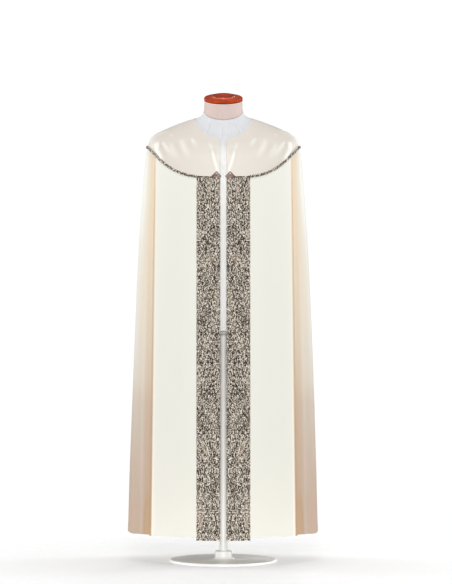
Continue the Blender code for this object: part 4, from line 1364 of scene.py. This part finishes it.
def neck_tape(material):
    """The folded tape that finishes the cover just under the cap."""
    points, outward = ring_points(NECK_RINGS[0], np.linspace(0, math.tau, 97)[:-1])
    route = points + outward * TAPE_OUT - np.array((0, 0, TAPE_DROP))
    return tube("neck_tape", route, TAPE_RADIUS, material, closed=True)


def stand_pole(material):
    """The pole, with the flange under the form and the cone below it."""
    top, foot = FORM_BOTTOM - SEAM, BOSS_TOP + SEAM
    under_flange = top - FLANGE_THICK
    profile = [(0, top), (FLANGE_RADIUS - FLANGE_CHAMFER, top), (FLANGE_RADIUS, top - FLANGE_CHAMFER)]
    profile += arc((FLANGE_RADIUS - FLANGE_ROUND, under_flange + FLANGE_ROUND), FLANGE_ROUND, 0, -90, 4)
    profile += [(POLE_RADIUS + CONE_FLARE, under_flange - CONE_FLARE)]
    profile += [(POLE_RADIUS, under_flange - CONE_LENGTH)]
    profile += [(POLE_RADIUS, foot), (0, foot)]
    return turned("pole", profile, 64, material)


def stand_base(material):
    """The round base, with a boss that takes the pole's foot."""
    profile = [(0, BOSS_TOP)]
    profile += arc((BOSS_RADIUS - 2 * BOSS_ROUND, BOSS_TOP - BOSS_ROUND), BOSS_ROUND, 90, 0, 6)
    profile += [(BOSS_RADIUS - BOSS_ROUND * 0.8, BASE_THICK + 2.5 * BOSS_ROUND)]
    profile += [(BOSS_RADIUS, BASE_THICK + BOSS_ROUND), (BOSS_RADIUS + 2 * BOSS_ROUND, BASE_THICK)]
    profile += arc((BASE_RADIUS - BASE_ROUND, BASE_THICK - BASE_ROUND), BASE_ROUND, 90, 0, 6)
    profile += [(BASE_RADIUS, 0), (0, 0)]
    return turned("base", profile, 128, material)


# ---------------------------------------------------------------- putting it together
def seat(obj, slot, *nodes):
    """The piece rides on the part's one body and stands for these solids, which it hides. The slot is not
    used.
    """
    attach(obj, "root")
    if nodes:
        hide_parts(*nodes)


def make_cope():
    cloth, satin, brocade = cope_cloth(), yoke_satin(), flecked_brocade()
    braid, cord_yarn = flecked_braid(), shadow_line_cord()
    band_thread = sewing_thread("taupe_thread", TAUPE_THREAD, 0.5)
    satin_thread = sewing_thread("ivory_thread", IVORY_THREAD, 0.55)
    front, front_right = FRONT_STATIONS, LAST_STATION - FRONT_STATIONS[::-1]
    middle = len(BACK_STATIONS) // 2
    for name, stations, creases in (
        ("body_front_left", front, FRONT_CREASES),
        ("body_front_right", front_right, mirrored_creases(FRONT_CREASES)),
        ("body_back_left", BACK_STATIONS[: middle + 1], BACK_CREASES),
        ("body_back_right", BACK_STATIONS[middle:], BACK_CREASES),
    ):
        piece, grid = body_panel(f"cape_{name}", stations, creases, cloth)
        seat(piece, "cope_cloth", name)
    for name, stations, creases, edges in (
        ("yoke_front_left", front, YOKE_CREASES, ("top", "start")),
        ("yoke_front_right", front_right, mirrored_creases(YOKE_CREASES), ("top", "end")),
        ("yoke_back", BACK_STATIONS, YOKE_BACK_CREASES, ("top",)),
    ):
        piece, grid = yoke_panel(f"satin_{name}", stations, creases, satin)
        stitches = stitches_inside(
            f"yoke_stitches_{name}", grid, CLOTH, YOKE_STITCH_INSET, edges, satin_thread
        )
        seat(piece, "yoke_satin", name)
        seat(stitches, "yoke_satin")
    for name, mirror in (("orphrey_left", False), ("orphrey_right", True)):
        piece, grid = band(f"band_{name}", mirror, brocade)
        stitches = stitches_inside(
            f"band_stitches_{name}", grid, BAND_CLOTH, BAND_STITCH_INSET, ("start", "end"), band_thread
        )
        # The dark cord stands in for the shadow line under the yoke's edge
        cord = band_top_cord(f"cord_{name}", mirror, cord_yarn)
        seat(piece, "flecked_brocade", name)
        seat(stitches, "flecked_brocade")
        seat(cord, "flecked_braid")
    for name, first, last in (
        ("braid_front_left", 1.0, 2.998),
        ("braid_back", 3.0005, 4.9995),
        ("braid_front_right", 5.002, 7.0),
    ):
        seat(twisted_braid(f"twisted_{name}", first, last, braid), "flecked_braid", name)


def make_clasps():
    metal, stone = rose_bronze(), pearl()
    for name, side in (("clasp_left", 1), ("clasp_right", -1)):
        seat(clasp_half(f"cast_{name}", side, metal), "clasp_metal", name)
        seat(clasp_pearl(f"set_{name}_pearl", side, stone), "clasp_pearl", f"{name}_pearl")


def make_form():
    enamel = pale_enamel()
    seat(form_torso(form_linen()), "form_linen", "form_torso")
    seat(neck_tape(Paint("pale_tape", Roughness=0.8, Base_Color=TAPE_PINK).material), "form_linen")
    seat(neck_cap(cap_wood()), "cap_wood", "form_neck_cap")
    seat(stand_pole(enamel), "stand_enamel", "stand_pole")
    seat(stand_base(enamel), "stand_enamel", "stand_base")


# ---------------------------------------------------------------- the room
FLOOR_RADIUS, FLOOR_FADE, FLOOR_GLOW, FLOOR_DROP = 1.2, 0.25, 0.17, 0.0005
AMBIENT, BACKDROP = 0.23, 1.02
CAMERA_PLACE, CAMERA_LENS, CAMERA_SENSOR = (0.0088, -9.0, 0.915), 163.2, 36
Softbox = namedtuple("Softbox", "name place aim size power")
SOFTBOXES = (
    Softbox("front", (0.0088, -10.5, 2.0), (0, 0, 0.95), (1.1, 2.2), 690),
    Softbox("softbox_left", (4.0, 1.4, 1.3), (0, 0, 0.8), (1.6, 2.6), 118),
    Softbox("softbox_right", (-4.0, 1.4, 1.3), (0, 0, 0.8), (1.6, 2.6), 118),
    Softbox("overhead", (0, -2.2, 4.2), (0, 0, 1.1), (1.0, 1.2), 30),
    Softbox("rim", (0, 3.0, 4.6), (0, 0, 1.5), (1.6, 0.8), 8),
    Softbox("back_fill", (2.0, 7.8, 2.4), (0, 0, 0.85), (2.4, 2.6), 110),
)


def make_floor():
    mesh = bpy.data.meshes.new("floor")
    with shaping(mesh) as work:
        bmesh.ops.create_circle(work, cap_ends=True, segments=96, radius=FLOOR_RADIUS)
    floor = new_object("floor", mesh, pale_floor())
    floor.location.z = -FLOOR_DROP


def make_lights():
    """Softboxes in a pale room. The backdrop is brighter to look at than as a light."""
    world = bpy.data.worlds.new("soft_white")
    world.use_nodes = True
    sky = Nodes(world.node_tree)
    background = world.node_tree.nodes["Background"]
    sky.feed(background.inputs["Color"], WHITE)
    seen = sky.node("LightPath", output="Is Camera Ray")
    sky.feed(background.inputs["Strength"], seen * (BACKDROP - AMBIENT) + AMBIENT)
    bpy.context.scene.world = world
    for box in SOFTBOXES:
        light = bpy.data.lights.new(box.name, "AREA")
        light.shape = "RECTANGLE"
        light.size, light.size_y = box.size
        light.energy = box.power
        obj = new_object(box.name, light)
        obj.location = box.place
        obj.rotation_euler = (Vector(box.aim) - Vector(box.place)).to_track_quat("-Z", "Y").to_euler()


def make_camera():
    """A long lens, level, at about half the part's height."""
    camera = bpy.data.cameras.new("camera")
    camera.sensor_width = CAMERA_SENSOR
    camera.lens = CAMERA_LENS
    obj = new_object("camera", camera)
    obj.location = CAMERA_PLACE
    obj.rotation_euler = (math.pi / 2, 0, 0)
    bpy.context.scene.camera = obj


bpy.context.scene.view_settings.view_transform = "Standard"
make_camera()
make_cope()
make_clasps()
make_form()
make_floor()
make_lights()
